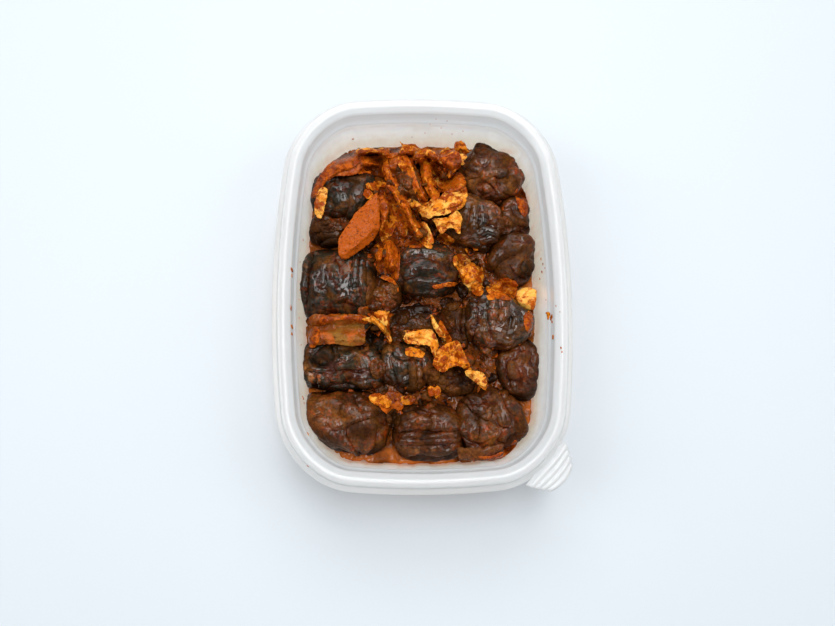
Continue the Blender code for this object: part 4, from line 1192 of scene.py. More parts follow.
# Strokes on the sausage pieces, as carve() takes them. A row is a kind, a width and a height in millimetres,
# and the picture points of its line.
STROKES = {
    "sausage_far_left": """crease 1 1.6 321,183 330,178 345,178 358,182; ridge 1.4 0.9 330,190 343,186
        356,188; crease 0.8 0.9 326,198 335,205 333,216; crease 0.8 0.9 345,192 350,203 346,214; ridge 1 0.7
        352,196 356,206 353,216""",
    "sausage_far_right": """crease 0.9 1.7 477,187 486,182 492,187 496,195; crease 0.8 1.4 495,170 503,168
        510,166; crease 0.8 1.4 494,176 500,179 507,177 506,184; ridge 1.8 1.2 497,173 505,173; crease 0.8
        1.3 474,166 481,168 488,165 490,158; ridge 2.4 1.3 476,161 483,162; ridge 2.2 1.1 479,149 484,151;
        crease 0.8 1.2 468,160 474,153 480,157 490,155 499,160; ridge 2 1 484,176 490,172; crease 1.2 1.8
        494,203 503,200 512,204; crease 0.9 1.1 499,184 502,192 510,196; crease 0.9 1.2 463,172 470,179
        478,178; ridge 2 0.9 508,188 513,181""",
    "sausage_upper_right": """ridge 0.9 0.9 474,208 474,226; crease 0.8 0.9 478,208 478,230; ridge 0.9 1
        482,207 482,228; crease 0.8 0.9 470,210 469,228; crease 0.9 1 486,206 489,224; crease 0.9 1.4
        480,229 486,226 497,229; ridge 1.3 0.9 482,234 488,231 495,233; crease 0.6 0.7 482,237 488,234
        495,237; ridge 0.8 0.7 483,240 490,238 495,240; crease 1 1.2 446,243 458,247 470,247 480,251; flap 1
        1.2 500,226 492,240 486,252""",
    "sausage_right": """ridge 1.6 1.1 489,268 495,259 504,254; crease 0.9 1.2 493,272 500,263 509,258
        520,254; crease 0.9 1.1 510,266 516,275 524,279; flap 0.9 1.3 524,258 519,266 518,276; crease 0.7
        0.9 526,257 534,259 533,272; ridge 1.2 0.8 502,270 508,276""",
    "sausage_right_edge": """crease 0.9 1.2 511,207 516,216 524,221; crease 0.9 1.2 508,232 515,226
        526,228""",
    "sausage_left": """ridge 0.8 0.8 323,265 324,294; ridge 0.7 1.1 356,256 355,284; crease 0.7 1 353,257
        350,288; crease 0.7 1 359,258 358,284 362,300; crease 0.8 1 366,262 367,286; ridge 1.6 0.7 334,266
        342,276 338,290; ridge 1.1 0.9 340,298 347,296 352,299; crease 0.8 1 336,304 346,303 356,307; ridge
        1.1 1.6 311,254 306,268 304.5,285 303,300; crease 0.8 1.4 314,256 309.5,270 308,290 307,304; crease
        1 1 314,306 326,311 340,314""",
    "sausage_middle": """ridge 1.6 1.2 404,256 415,251 430,252 443,257; crease 0.9 1.1 403,263 418,258
        432,259 446,264; crease 0.8 0.8 402,274 404,288; ridge 1.2 0.8 411,270 424,268 440,272; crease 0.8
        0.8 408,280 422,277 444,281; ridge 0.9 1 410,295 420,291 435,294; crease 1 1.8 402,297 418,299
        436,298 453,294; ridge 1.2 1 405,303 425,304 450,301""",
    "sausage_glossy": """ridge 0.8 0.9 485,310 484,330 487,340; crease 0.7 1.1 488,306 488,324 491,338;
        ridge 1.3 1 493,302 494,312 491,324; crease 0.7 1 497,300 499,312 495,326; ridge 1.5 1 503,302
        505,316 501,330; crease 0.7 1 509,306 511,320 506,336; ridge 1.4 0.9 514,312 516,326 512,340; crease
        0.6 0.9 482,314 490,309 497,311 504,306; crease 0.6 0.8 486,322 494,320 500,324 507,320; flap 1.3
        1.3 474,296 477,312 474,330 470,346; ridge 1.2 1.3 470,347 482,353 496,355 510,352 518,346; crease
        0.8 1 472,343 484,348 497,349 509,346 516,341""",
    "casing_fold_glossy": """crease 0.8 1.3 461,296 463,310 460,325 463,340; crease 0.8 1.3 468,294 470,310
        467,326 468,342; ridge 0.9 0.8 465,296 466,320 464,338""",
    "sausage_lower_right": """crease 0.9 1.2 506,360 507,374 510,388; crease 0.9 1.4 503,388 512,395
        523,399; ridge 1.5 1 514,350 519,346 527,344; crease 0.7 0.9 510,352 520,350 530,353; ridge 0.9 1.2
        529,338 536,348 538,358; crease 0.7 1 526,342 531,352 532,364; crease 0.6 0.6 515,366 520,376
        518,388""",
    "sausage_lower_left": """crease 0.9 1.6 309,357 317,365 328,366 334,358 332,348; ridge 1.1 1.1 309,351
        315,346 326,345 334,348; crease 0.7 1.2 337,349 340,358 348,361 355,356; ridge 1.1 0.9 338,346
        347,348 354,347; ridge 1.5 1.2 334,378 346,375 358,377 364,383; crease 0.9 1.3 322,374 338,371
        352,370 366,372; crease 0.8 1.1 330,385 345,383 358,386; crease 0.8 1.2 306,371 314,372 322,374;
        ridge 1.3 1.3 308,376 313,381; crease 0.8 1.1 316,376 318,386""",
    "sausage_centre_low": """crease 0.8 1.6 393,346 393,355 401,361 412,359 422,362; ridge 1.2 0.9 397,348
        398,354 405,357 414,355; ridge 1 1 399,363 400,372 403,380; ridge 0.7 0.8 413,363 414,384; crease
        0.6 0.9 416,363 417,384; ridge 0.7 0.8 419,363 420,383; crease 0.6 0.9 422,364 424,381; crease 0.8
        1.1 408,366 409,384; crease 0.8 1.1 390,358 394,370 398,382""",
    "sausage_near_left": """flap 1 1.8 367,418 358,421 347,425 344,432 350,442 358,451; ridge 1 1.2 354,441
        359,449 366,450 371,445 372,435; crease 0.9 1.4 377,428 376,440 373,449 365,454; ridge 0.8 1 325,425
        330,435 339,440 343,434; crease 0.7 1 328,424 334,430 340,430; crease 1 1.6 321,441 335,447 350,450;
        ridge 1.6 1 318,407 330,405 343,410; crease 0.8 1.1 340,408 342,417 352,419; crease 0.8 1.2 355,398
        358,408 368,413; crease 0.7 0.9 315,418 322,416 331,419""",
    "sausage_near_middle": """crease 0.8 2 398,433 415,431 432,432 457,431; ridge 1.4 1 404,420 415,417
        428,420; crease 0.9 1.1 402,414 413,411 424,415; ridge 1.4 1 436,418 446,416 454,421; crease 0.8 1
        428,412 432,422 430,428; crease 0.6 0.7 400,438 425,439 456,438; crease 0.6 0.7 400,444 428,445
        456,443; ridge 0.9 1.1 413,452 417,449 422,450; ridge 0.9 1.1 427,452 431,449 436,451; crease 0.8
        1.2 411,456 420,454 436,456 450,454""",
    "sausage_near_right": """flap 0.9 1.8 491,412 488,420 478,414 469,406; ridge 1.8 1.1 470,398 482,394
        494,398; crease 0.8 1.1 474,391 484,401 495,404; ridge 1.7 1.2 468,420 473,428 472,436; crease 0.8
        1.1 477,420 480,430 477,440; ridge 1.7 1.2 484,428 490,434 500,434; crease 0.8 1.1 496,416 500,426
        510,428; crease 0.8 1.2 503,400 507,410 514,416; crease 1 1.6 464,436 474,444 488,448 500,444; ridge
        1 0.9 508,420 514,424""",
    "sausage_scrap": """crease 0.8 1.2 438,372 449,377 461,374; crease 0.7 1 436,381 446,386 458,386; ridge
        1.4 1 442,368 454,370""",
    "sausage_sunk": """crease 0.8 1.2 404,312 412,322 424,326; crease 0.8 1.2 398,322 404,334 402,344;
        crease 0.7 1 424,312 433,318 445,318""",
    "casing_fold_left": """crease 0.8 1.3 314,236 324,230 336,228; crease 0.8 1.3 320,244 328,238 340,238;
        ridge 1.2 0.9 320,224 331,221 338,224""",
}

# Dabs of colour and gloss on the sausage pieces and of oil on the tub's wall, as dab() takes them. A row is a
# tone, a picture point, the half width and half height there, and a strength.
DABS = {
    "sausage_far_left": """dark 336,200 14 12 1; dark 322,190 8 8 0.8; pale 362,180 8 5 0.7; wet 343,197 4 4
        0.9; wet 352,203 4 5 0.8; red 330,181 9 2 0.6""",
    "sausage_far_right": """red 478,162 5 4 0.9; red 481,150 5 4 0.8; dark 501,175 9 6 1; wet 500,173 5 2 1;
        red 515,170 3 12 0.9; dark 488,188 8 5 0.8; dark 507,188 7 6 0.7; pale 470,182 5 8 0.6; wet 485,162
        6 4 0.5; red 500,156 10 2 0.7""",
    "sausage_upper_right": """dark 488,234 11 8 1.2; wet 488,234 10 7 1; wet 474,216 2 11 1; wet 482,216 2
        11 1; red 468,220 5 8 0.8; red 474,231 6 4 0.7; pale 446,240 8 5 0.7; pale 458,243 8 4 0.5""",
    "sausage_right": """dark 524,266 7 9 1; pale 500,262 9 8 0.5; pale 530,247 6 6 0.5; pale 530,275 4 6
        0.6; red 516,240 10 5 0.7""",
    "sausage_left": """dark 318,257 16 8 1; dark 335,262 14 6 0.7; red 336,274 12 6 0.7; red 343,282 8 4
        0.6; wet 323,280 2 14 1; wet 355,270 4 16 1; wet 361,270 3 12 0.7; wet 347,287 4 4 1; wet 345,298 5
        3 1; pale 356,291 5 7 0.8; pale 306,274 3 14 0.9; pale 360,262 6 8 0.5; red 304,290 3 10 0.7; dark
        330,306 14 5 0.7; red 352,309 9 3 0.6""",
    # On the middle piece, the first pale dab is a painted highlight on the top band of its far shoulder.
    "sausage_middle": """pale 412,253 9 4 0.6; wet 416,252 12 4 0.8; wet 438,255 5 4 0.9; dark 430,274 20 10
        0.9; wet 420,293 12 2 1; dark 403,275 5 10 0.7; red 444,292 8 3 0.7; pale 425,303 16 3 0.5""",
    "sausage_glossy": """wet 500,322 18 20 1; pale 494,354 18 4 0.8; dark 500,316 14 12 0.5; pale 478,318 5
        16 0.5; red 507,345 8 4 0.4""",
    "sausage_lower_right": """dark 501,372 7 14 1; pale 517,352 6 5 0.6; red 519,372 7 9 0.45; red 534,372 3
        12 0.7""",
    "sausage_lower_left": """dark 346,367 20 6 1.1; dark 322,354 5 3 0.9; pale 307,366 5 4 1; pale 311,377 4
        5 1.1; pale 319,379 5 4 0.8; red 350,378 12 3 0.8; wet 368,367 5 4 0.9; wet 348,356 6 4 0.5""",
    "sausage_centre_low": """wet 399,366 3 5 1; wet 403,376 4 6 1; wet 390,362 4 5 0.8; pale 389,352 6 7
        0.8; red 400,350 7 4 0.6; pale 418,373 5 8 0.4""",
    "sausage_near_left": """red 334,434 8 5 0.8; dark 338,446 18 4 1; pale 330,410 12 7 0.5; pale 357,418 12
        3 0.6; pale 365,450 6 3 0.8; dark 360,434 9 9 0.45; wet 334,428 4 2 0.9; red 384,432 4 14 0.8; wet
        328,418 5 4 0.6; red 309,420 3 8 0.6""",
    "sausage_near_middle": """red 412,420 10 6 0.6; red 430,426 22 3 0.5; wet 440,419 7 3 0.9; pale 447,417
        5 4 0.5; pale 417,450 5 3 0.9; pale 431,450 5 3 0.9; dark 430,439 26 4 0.55""",
    "sausage_near_right": """pale 488,413 3 5 0.9; dark 513,408 5 5 1; dark 473,446 16 7 0.9; wet 471,427 4
        5 0.9; wet 486,433 3 5 0.8; red 516,424 4 10 0.9; pale 495,432 8 6 0.4; red 490,402 8 5 0.5""",
    "sausage_end_far": """wet 397,163 4 4 0.3""",
    "tub": """oil 300,290 14 65 0.9; oil 534,260 11 75 0.85; oil 302,400 10 45 0.85; oil 430,148 90 12 0.75;
        oil 524,205 7 22 1.1; oil 528,250 5 20 0.7; oil 534,290 6 30 0.6; oil 532,345 5 20 0.7; oil 530,405
        6 24 1.2; oil 515,437 9 12 1.1; oil 495,457 20 5 1.1; oil 345,455 30 8 1.3; oil 318,436 7 12 0.9;
        oil 303,400 5 20 0.5; oil 301,350 4 20 0.5; oil 300,300 4 40 0.75; oil 308,235 4 20 0.6; oil 322,175
        7 12 0.8; oil 350,155 14 6 0.7; oil 390,147 30 5 0.6; oil 440,145 30 5 0.5; oil 505,152 14 8 0.8;
        oil 518,172 5 14 0.8; oil 400,461 30 3 0.7; oil 314,396 4 10 1.3; oil 311,428 3 12 1.1; oil 322,445
        8 5 1.2; oil 310,356 4 8 1; oil 524,432 5 10 1.2""",
}

# Styles of laid pieces: point spacing in the picture, then lift, thickness, puff, wave height, wave size and
# curl in millimetres.
LAY_STYLES = {
    "leaf": (1.4, 0.2, 0.7, 0.4, 1.2, 2.8, 0.9),
    "big_leaf": (1.4, 0.2, 0.8, 0.5, 2.0, 3.4, 1.0),
    "mass": (2.0, 0.3, 0.5, 0.8, 1.2, 2.8, 0.0),
    "slice": (1.6, 0.2, 2.0, 0.1, 0.1, 8.0, 0.0),
    "slab": (1.6, 0.6, 4.0, 0.3, 0.3, 6.0, 0.0),
    "smooth": (1.6, 0.6, 0.6, 0.3, 0.5, 5.0, 0.4),
    "strip": (1.2, 0.9, 0.8, 0.4, 0.5, 4.0, 0.5),
    "lump": (1.2, 0.0, 0.6, 1.2, 1.3, 2.2, 0.2),
    "low": (1.5, 0.0, 0.5, 0.6, 0.6, 2.6, 0.2),
}

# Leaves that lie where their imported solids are: a finish, then a style with the picture points of the edge,
# and strokes.
LAID = {
    "cabbage_cube_right": ("cabbage_plain", """slab 511,296 513,293 520,289 528,287 535,289 537,292 536,303
        534,310 529,310 521,307 514,303 510,299"""),
    "carrot_slice": ("carrot", """slice 376,193 378,196 380,206 380,218 379,230 373,240 364,248 354,255
        347,259 342,259 339,255 338,247 339,238 344,230 350,221 357,211 366,203"""),
    "carrot_piece": ("carrot_dark", """slice 380,196 385,197 389,204 389,213 386,222 382,232 379,236 379,226
        381,214 380,204"""),
    "onion_square": ("onion", """smooth 309,318 318,314 332,316 348,314 362,316 372,323 366,332 364,344
        350,346 334,344 318,345 309,341 312,330; crease 0.7 1 312,328 330,325 350,326 368,324; ridge 0.9 0.8
        316,336 335,334 358,336; ridge 0.7 1 316,320 332,320 350,318 364,320"""),
    "cabbage_wall_left": ("cabbage", """strip 320,189 325,187 328,191 326,202 324,212 320,219 316,216
        314,208 316,198"""),
    "cabbage_big_leaf": ("cabbage", """big_leaf 418,208 423,205 430,200 434,195 440,197 446,191 451,187
        458,185 464,185 467,190 467,199 464,206 459,210 451,213 444,215 434,216 430,219 422,216; crease 0.6
        1 447,193 455,195 461,192; crease 0.6 1 430,203 429,209 432,215; ridge 0.8 1 434,208 446,205
        457,203; crease 0.5 0.8 438,212 450,209 460,206; ridge 0.8 0.8 450,190 460,188 465,192"""),
    "cabbage_lower_leaf": ("cabbage", """big_leaf 432,219 442,218 448,217 452,213 456,211 460,213 462,219
        461,227 460,234 456,232 453,228 448,229 442,234 438,230 436,225; ridge 0.7 0.9 438,222 447,222
        456,217; crease 0.6 0.9 440,227 448,225 457,226"""),
    "cabbage_far_leaf": ("cabbage", """leaf 438,161 446,156 451,152 457,153 466,155 467,158 464,161 465,164
        459,166 456,171 453,171 450,168 447,165 442,164; crease 0.5 0.7 446,161 453,160 460,161; ridge 0.7
        0.8 449,157 457,157"""),
    "cabbage_far_corner": ("cabbage_red", """leaf 454,145 457,141 462,141 465,144 468,150 469,153 464,154
        459,152 455,150; ridge 0.7 0.8 458,144 462,149"""),
    "cabbage_far_bit": ("cabbage", """leaf 438,156 441,151 447,147 452,149 449,153 444,155 439,158"""),
    "cabbage_far_lobe": ("cabbage_red", """big_leaf 413,159 417,152 423,149 431,150 436,154 438,159 434,162
        430,158 426,157 422,162 418,161; ridge 0.7 0.8 418,156 425,152 432,155"""),
    "cabbage_far_peak": ("cabbage_red", """big_leaf 400,141 403,144 408,144 415,144 419,148 417,150 414,154
        409,154 405,153 401,155 399,151 402,148; ridge 0.6 0.9 405,148 412,147 415,151"""),
    "onion_skin": ("onion_red", """smooth 317,187 322,178 330,168 338,162 350,157 357,151 360,148 362,152
        364,157 363,166 358,173 347,176 337,176 329,180 323,185; ridge 0.7 1.2 329,179 334,171 342,165
        352,160; crease 0.8 0.8 335,174 344,170 356,166"""),
    "cabbage_hook": ("cabbage", """leaf 402,332 406,330 413,331 421,330 430,329 434,332 437,338 439,346
        437,352 435,357 432,353 430,347 425,345 418,345 412,344 406,343 403,338; ridge 0.8 0.9 406,334
        420,334 431,336 435,350; crease 0.6 0.8 408,339 420,339 429,342"""),
    "cabbage_red_leaf": ("cabbage_red", """big_leaf 434,358 438,350 446,344 455,341 459,342 463,350 468,360
        470,367 466,369 458,366 450,368 444,372 437,370 433,365; ridge 0.8 1 458,344 462,355 467,366; crease
        0.6 0.8 454,346 457,358 462,366; crease 0.6 0.8 440,356 447,354 452,360"""),
    "cabbage_low_leaf": ("cabbage", """leaf 465,371 470,370 478,371 484,374 487,380 486,387 482,386 477,384
        472,380 467,376; ridge 0.6 0.8 469,373 477,376 484,383"""),
    "cabbage_star": ("cabbage_red", """lump 428,388 430,385 434,387 438,386 441,390 440,396 437,399 434,396
        430,397 428,393"""),
}

# Chopped scraps that lie in the sauce and on the large pieces: finish, slot, then style and edge of each.
CHOPPED = {
    "soaked_mass": ("mass", "stained_cabbage", """mass 386,156 400,152 420,154 436,160 444,172 444,188
        434,196 424,200 412,198 400,192 390,178; mass 376,186 390,184 404,194 418,214 428,240 420,248
        404,247 392,247 384,236 380,214; mass 372,246 384,240 398,244 400,262 398,280 386,280 376,268; mass
        432,168 446,170 462,174 466,186 456,192 440,192 430,184; mass 358,152 380,149 402,149 406,158
        396,164 380,163 362,166; mass 428,152 442,150 456,150 462,160 458,170 444,168 432,162; mass 496,284
        512,280 518,290 512,300 498,298; mass 311,198 315,184 325,168 338,158 352,152 360,148 366,156
        352,168 336,174 325,184 318,196; mass 358,310 374,306 392,312 396,328 390,344 376,330 364,322; mass
        372,394 386,390 402,394 404,406 394,418 382,410"""),
    "brown_mass": ("brown", "dark_casing", """mass 392,316 412,313 438,315 452,320 456,330 444,336 430,330
        410,330 398,344 390,330; mass 370,280 384,276 398,282 402,298 396,312 378,312 366,304; mass 396,168
        408,164 418,172 420,188 412,196 400,188"""),
    "chopped_cabbage": ("cabbage_red", "stained_cabbage", """leaf 366,184 372,181 380,181 387,183 386,188
        380,187 377,192 371,190 367,189; leaf 366,189 371,191 374,196 371,200 366,198 363,194; leaf 391,206
        395,204 399,209 400,218 396,228 391,236 387,234 389,224; leaf 381,224 387,220 390,228 388,238
        383,243 380,236; leaf 401,226 405,222 408,230 405,238 401,234; leaf 431,172 436,170 441,174 443,180
        439,188 434,186 432,179; leaf 453,258 459,254 466,255 473,262 480,268 484,276 481,283 475,280
        468,284 461,279 458,270 454,265; leaf 439,234 444,233 450,236 455,241 449,245 441,243 436,239; leaf
        398,157 403,156 407,163 410,172 406,176 401,170 398,164; leaf 486,288 494,281 505,278 515,281
        518,288 512,294 500,293 490,294; leaf 405,350 411,347 419,349 425,353 422,358 414,357 407,356; leaf
        369,396 377,393 386,396 392,401 388,408 379,406 371,402; leaf 400,398 408,395 416,398 413,404
        404,405; leaf 471,285 478,283 484,288 481,296 473,294"""),
    "chopped_cream": ("cabbage", "stained_cabbage", """leaf 374,313 379,310 384,311 388,308 390,312 387,317
        388,323 385,327 381,322 377,318; strip 362,320 368,317 376,319 384,325 389,333 392,341 389,341
        384,333 377,326 370,322; strip 431,315 434,318 440,328 446,340 443,341 437,333 432,324; strip
        414,225 419,229 424,236 429,242 433,246 429,249 422,244 417,236; leaf 461,262 466,260 471,264
        475,272 473,279 467,279 461,274 459,268; leaf 408,200 413,199 418,203 422,208 418,212 412,209"""),
    "orange_bits": ("shred", "orange_shred", """strip 383,160 387,158 389,166 393,176 398,187 395,190
        389,182 385,172; strip 390,188 394,186 402,195 410,207 417,220 424,234 428,244 423,245 415,232
        407,216 398,202; strip 403,155 409,158 414,170 418,183 424,196 428,203 422,205 415,194 410,180
        405,166; strip 419,160 426,158 431,166 432,178 435,188 440,195 434,200 427,193 422,180 420,170; low
        384,192 392,194 398,203 404,214 408,226 404,236 397,228 391,215 386,203; low 430,160 440,166 452,172
        462,178 464,186 452,186 444,190 436,184 431,172; low 383,243 390,240 396,246 398,256 394,266 388,262
        384,252; strip 384,245 388,243 391,252 390,262 387,268 384,260; strip 374,246 378,244 383,250
        382,258 378,263 375,256; strip 380,277 386,276 392,278 397,284 399,291 396,291 391,283 384,280;
        strip 432,286 440,284 449,282 457,283 455,286 446,287 436,289; strip 364,158 372,156 382,155 392,153
        398,154 392,158 380,159 368,162; low 486,296 492,292 500,291 506,295 500,298 490,300; low 441,320
        447,330 452,341 448,344 442,336 438,327"""),
    "red_folds": ("mass", "soft_onion", """smooth 362,157 372,156 384,158 387,166 384,177 376,176 366,173
        358,174 361,166; smooth 320,318 332,314 348,314 364,315 372,320 364,324 348,320 334,321 322,326;
        smooth 309,332 314,326 320,330 318,344 311,348 308,340; low 515,192 520,187 525,192 528,204 527,216
        521,214 517,204; low 524,314 530,311 534,318 533,330 528,333 524,324; low 478,456 490,456 500,452
        509,446 515,440 517,444 511,452 500,459 486,461"""),
    "skin_bits": ("brown", "dark_casing", """lump 373,292 378,287 385,289 387,296 382,302 375,300; lump
        384,284 391,281 398,285 399,293 392,296 386,292; lump 381,301 388,298 395,300 397,307 390,312
        383,309; lump 400,172 406,170 412,175 414,184 409,190 402,186 399,179; lump 409,190 415,188 420,194
        419,202 412,202 408,197; lump 395,188 401,186 405,192 402,198 397,196; lump 318,224 327,219 336,218
        345,218 350,223 342,230 332,232 322,232; lump 440,300 448,297 456,300 458,308 450,311 442,308; lump
        396,310 404,307 410,312 408,322 400,326 395,319; lump 392,326 400,324 405,331 402,342 395,344
        391,336; lump 440,310 450,312 456,320 452,330 444,326; lump 371,362 378,358 386,364 384,374 376,380
        371,373; lump 425,372 433,368 440,373 438,382 430,386 425,380; lump 444,388 453,384 462,388 460,395
        451,397 445,394; lump 497,222 505,216 513,222 512,231 504,235 497,231; lump 456,286 463,284 469,290
        466,298 459,297; lump 387,414 394,409 400,414 399,424 392,428 387,422; lump 372,384 380,382 388,388
        385,394 376,393"""),
    "pepper_skin": ("dark", "dark_casing", """low 365,323 372,324 380,330 386,340 387,348 380,350 372,347
        366,340"""),
}
# Slots by the first word of a node's name.
SLOTS = {"onion": "soft_onion", "carrot": "stained_carrot", "shred": "orange_shred", "casing": "dark_casing",
         "cabbage": "stained_cabbage", "sausage": "dark_casing"}

# Each kind of loose bit: finish, slot, size, lift, tilt in radians, the size of its bends and their depth,
# and whether it is round. Lengths are in millimetres.
BITS = {
    "brown_lumps": ("crumbly", "dark_casing", (8.5, 6.5, 4.5), -0.4, 0.7, 4.0, 2.4, True),
    "brown_crumbs": ("crumb", "dark_casing", (2.6, 2.0, 1.6), 0.3, 1.2, 2.2, 0.9, True),
    "red_scraps": ("scrap", "red_sauce", (4.6, 2.4, 1.1), 0.5, 0.8, 3.0, 1.2, False),
    "amber_flakes": ("flake", "stained_cabbage", (5.0, 2.4, 0.9), 0.7, 0.7, 3.0, 1.2, False),
}
LEAST_BIT = 0.35

# Specks of sauce on the tub: a picture point, length and width in millimetres, and turn in degrees.
SPECKS = """292,270 3.2 1.3 80; 292,276 1.6 1.2 60; 291,308 2 1.6 0; 292,327 3.6 1.5 85; 292,334 2.4 1.2 95;
    549,314 3 1.6 60; 551,318 4 2 100; 548,317 2 1.4 20; 552,322 1.8 1 70; 553,337 2.4 1.8 80; 561,348 0.9
    0.7 0; 562,352 0.6 0.5 0; 308,466 1 0.8 0; 353,139 1 0.8 0; 350,151 1 0.8 30; 308,434 1.4 1 0; 303,398
    1.6 1.2 30; 304,403 1 0.8 0; 541,259 1.4 1 0; 543,264 1 0.8 0; 542,272 1.6 1 50; 545,268 0.7 0.6 0;
    540,279 1 0.7 0; 300,290 1.2 0.7 80; 299,300 0.9 0.7 0; 430,124 0.5 0.4 0; 436,119 0.4 0.4 0; 441,128
    0.5 0.4 0; 447,121 0.4 0.3 0; 425,133 0.5 0.4 0; 412,137 0.5 0.4 0; 452,134 0.5 0.5 0; 463,131 0.4 0.4
    0; 546,300 0.6 0.5 0; 556,306 0.5 0.4 0; 560,312 0.4 0.4 0; 300,262 0.7 0.5 0; 303,240 0.8 0.6 0;
    299,318 0.7 0.6 0; 301,345 0.8 0.6 0"""


# Operators


class MEAL_OT_stage(bpy.types.Operator):
    """Add the floor, the soft lights, the even sky and the camera"""

    bl_idname = "meal.stage"
    bl_label = "Stage"

    def execute(self, context):
        settings = context.scene.meal_stage
        material, tree, shader, place = new_material("pale_floor", {"Roughness": 0.6})
        cloud, _ = noise_value(tree, place, 3.0, 2.0)
        tree.links.new(blend_colours(tree, times(tree, cloud, 0.02), settings.floor,
                                     (0.7, 0.7, 0.7, 1.0)), shader.inputs["Base Color"])
        shape = bmesh.new()
        bmesh.ops.create_grid(shape, x_segments=2, y_segments=2, size=3.0)
        floor = new_piece("floor", shape, material)
        if floor.data.polygons[0].normal.z < 0:
            floor.data.flip_normals()
        world = bpy.data.worlds.new("even_sky")
        world.use_nodes = True
        sky = world.node_tree.nodes["Background"]
        sky.inputs["Color"].default_value = (0.975, 0.985, 1.0, 1.0)
        sky.inputs["Strength"].default_value = settings.sky
        context.scene.world = world
        for name, place, size, power in (
                ("top_light", (0.05, 0.20, 1.25), (0.38, 0.80), settings.top),
                ("far_light", (0.0, 0.85, 0.95), (1.30, 0.60), settings.far),
                ("left_light", (-0.85, 0.05, 0.85), (0.60, 0.80), settings.left),
                ("right_light", (0.85, 0.05, 0.85), (0.60, 0.80), settings.right),
                ("near_light", (0.0, -0.95, 0.75), (1.00, 0.40), settings.near)):
            light = bpy.data.lights.new(name, "AREA")
            light.shape = "RECTANGLE"
            light.size, light.size_y = size
            light.energy = power
            lamp = bpy.data.objects.new(name, light)
            lamp.location = place
            towards = Vector(place) - Vector(LIGHTS_AIM)
            lamp.rotation_euler = towards.to_track_quat("Z", "Y").to_euler()
            context.scene.collection.objects.link(lamp)
        lens = bpy.data.cameras.new("camera")
        lens.sensor_fit = "HORIZONTAL"
        lens.sensor_width = 36.0
        lens.lens = PICTURE_LENS / PICTURE_SIZE[0] * lens.sensor_width
        lens.clip_start = 0.01
        camera = bpy.data.objects.new("camera", lens)
        camera.matrix_world = Matrix.Translation(CAMERA_PLACE) @ Matrix(CAMERA_TURN).to_4x4()
        context.scene.collection.objects.link(camera)
        context.scene.camera = camera
        context.scene.view_settings.view_transform = "Standard"
        return {"FINISHED"}


class MEAL_OT_tub(bpy.types.Operator):
    """Build the milky plastic tub with its stepped rim, fluted walls and ribbed pull tab"""

    bl_idname = "meal.tub"
    bl_label = "Tub"

    def execute(self, context):
        settings = context.scene.meal_tub
        material = plastic_material(settings)
        rings = [ring_at(offset, height, settings) for offset, height in tub_section()]
        tub = new_piece("tub_shell", loft(rings), material)
        tab = self.pull_tab(settings, material)
        add_modifier(tub, "BOOLEAN", operation="UNION", solver="MANIFOLD", object=tab)
        apply_modifiers(tub)
        bpy.data.objects.remove(tab, do_unlink=True)
        tub.data.shade_smooth()
        dab(tub, read_rows(DABS["tub"]))
        finish_piece(tub, "tub_plastic", "tub")
        return {"FINISHED"}

    def pull_tab(self, settings, material):
        """A plate on the flange's near right corner, with rounded ribs across it."""
        across = Vector((-TAB_DIRECTION.y, TAB_DIRECTION.x))
        shape = bmesh.new()
        bmesh.ops.create_grid(shape, x_segments=28, y_segments=72, size=0.5)
        for vertex in shape.verts:
            side = 2 * vertex.co.x
            along = vertex.co.y + 0.5
            half = TAB_ROOT_WIDTH / 2 * (1 - TAB_NARROWING * along ** 1.3)
            reach = TAB_REACH * along * (1 - TAB_END_BOW * side * side)
            place = TAB_ROOT + TAB_DIRECTION * reach + across * half * side
            ribbed = max(0.0, along - TAB_PLAIN_ROOT) / (1 - TAB_PLAIN_ROOT)
            rib = ((1 - math.cos(2 * math.pi * settings.tab_ribs * ribbed)) / 2) ** 1.6
            rib *= TAB_RIB_HEIGHT * (1 - ease(abs(side), 0.9, 1.0))
            vertex.co = (place.x, place.y, TAB_TOP - TAB_THICKNESS + rib)
        tab = new_piece("tab_blank", shape, material)
        if tab.data.polygons[0].normal.z < 0:
            tab.data.flip_normals()
        add_modifier(tab, "SOLIDIFY", thickness=TAB_THICKNESS, offset=1.0)
        return apply_modifiers(tab)


class MEAL_OT_skins(bpy.types.Operator):
    """Build the wrinkled, wet sausage pieces over their rounded solids"""

    bl_idname = "meal.skins"
    bl_label = "Sausage Pieces"

    def execute(self, context):
        settings = context.scene.meal_skin
        tree = tree_named("Wrinkled Skin", wrinkle_tree)
        for index, (node, spec) in enumerate(SKINS.items()):
            turn, stretch, lump, fold_size, fold, finish = spec
            thing = apply_modifiers(copy_of_node(node, node + "_skin", settings.voxel))
            carve(thing, read_rows(STROKES[node]) if node in STROKES else ())
            dab(thing, read_rows(DABS[node]) if node in DABS else ())
            add_tree(thing, tree, {
                "Turn": math.radians(-turn), "Stretch": stretch,
                "Variety": (0.013 * index, 0.007 * index, 0.0),
                "Lump Size": settings.lump_size, "Lump Depth": lump * MM, "Fold Size": fold_size * MM,
                "Fold Depth": fold * MM, "Wrinkle Size": settings.wrinkle_size,
                "Wrinkle Depth": settings.wrinkle_depth,
                "Swell": settings.swell, "Material": finish_named(finish)})
            finish_piece(keep_inside(apply_modifiers(thing)), "dark_casing", node)
        return {"FINISHED"}


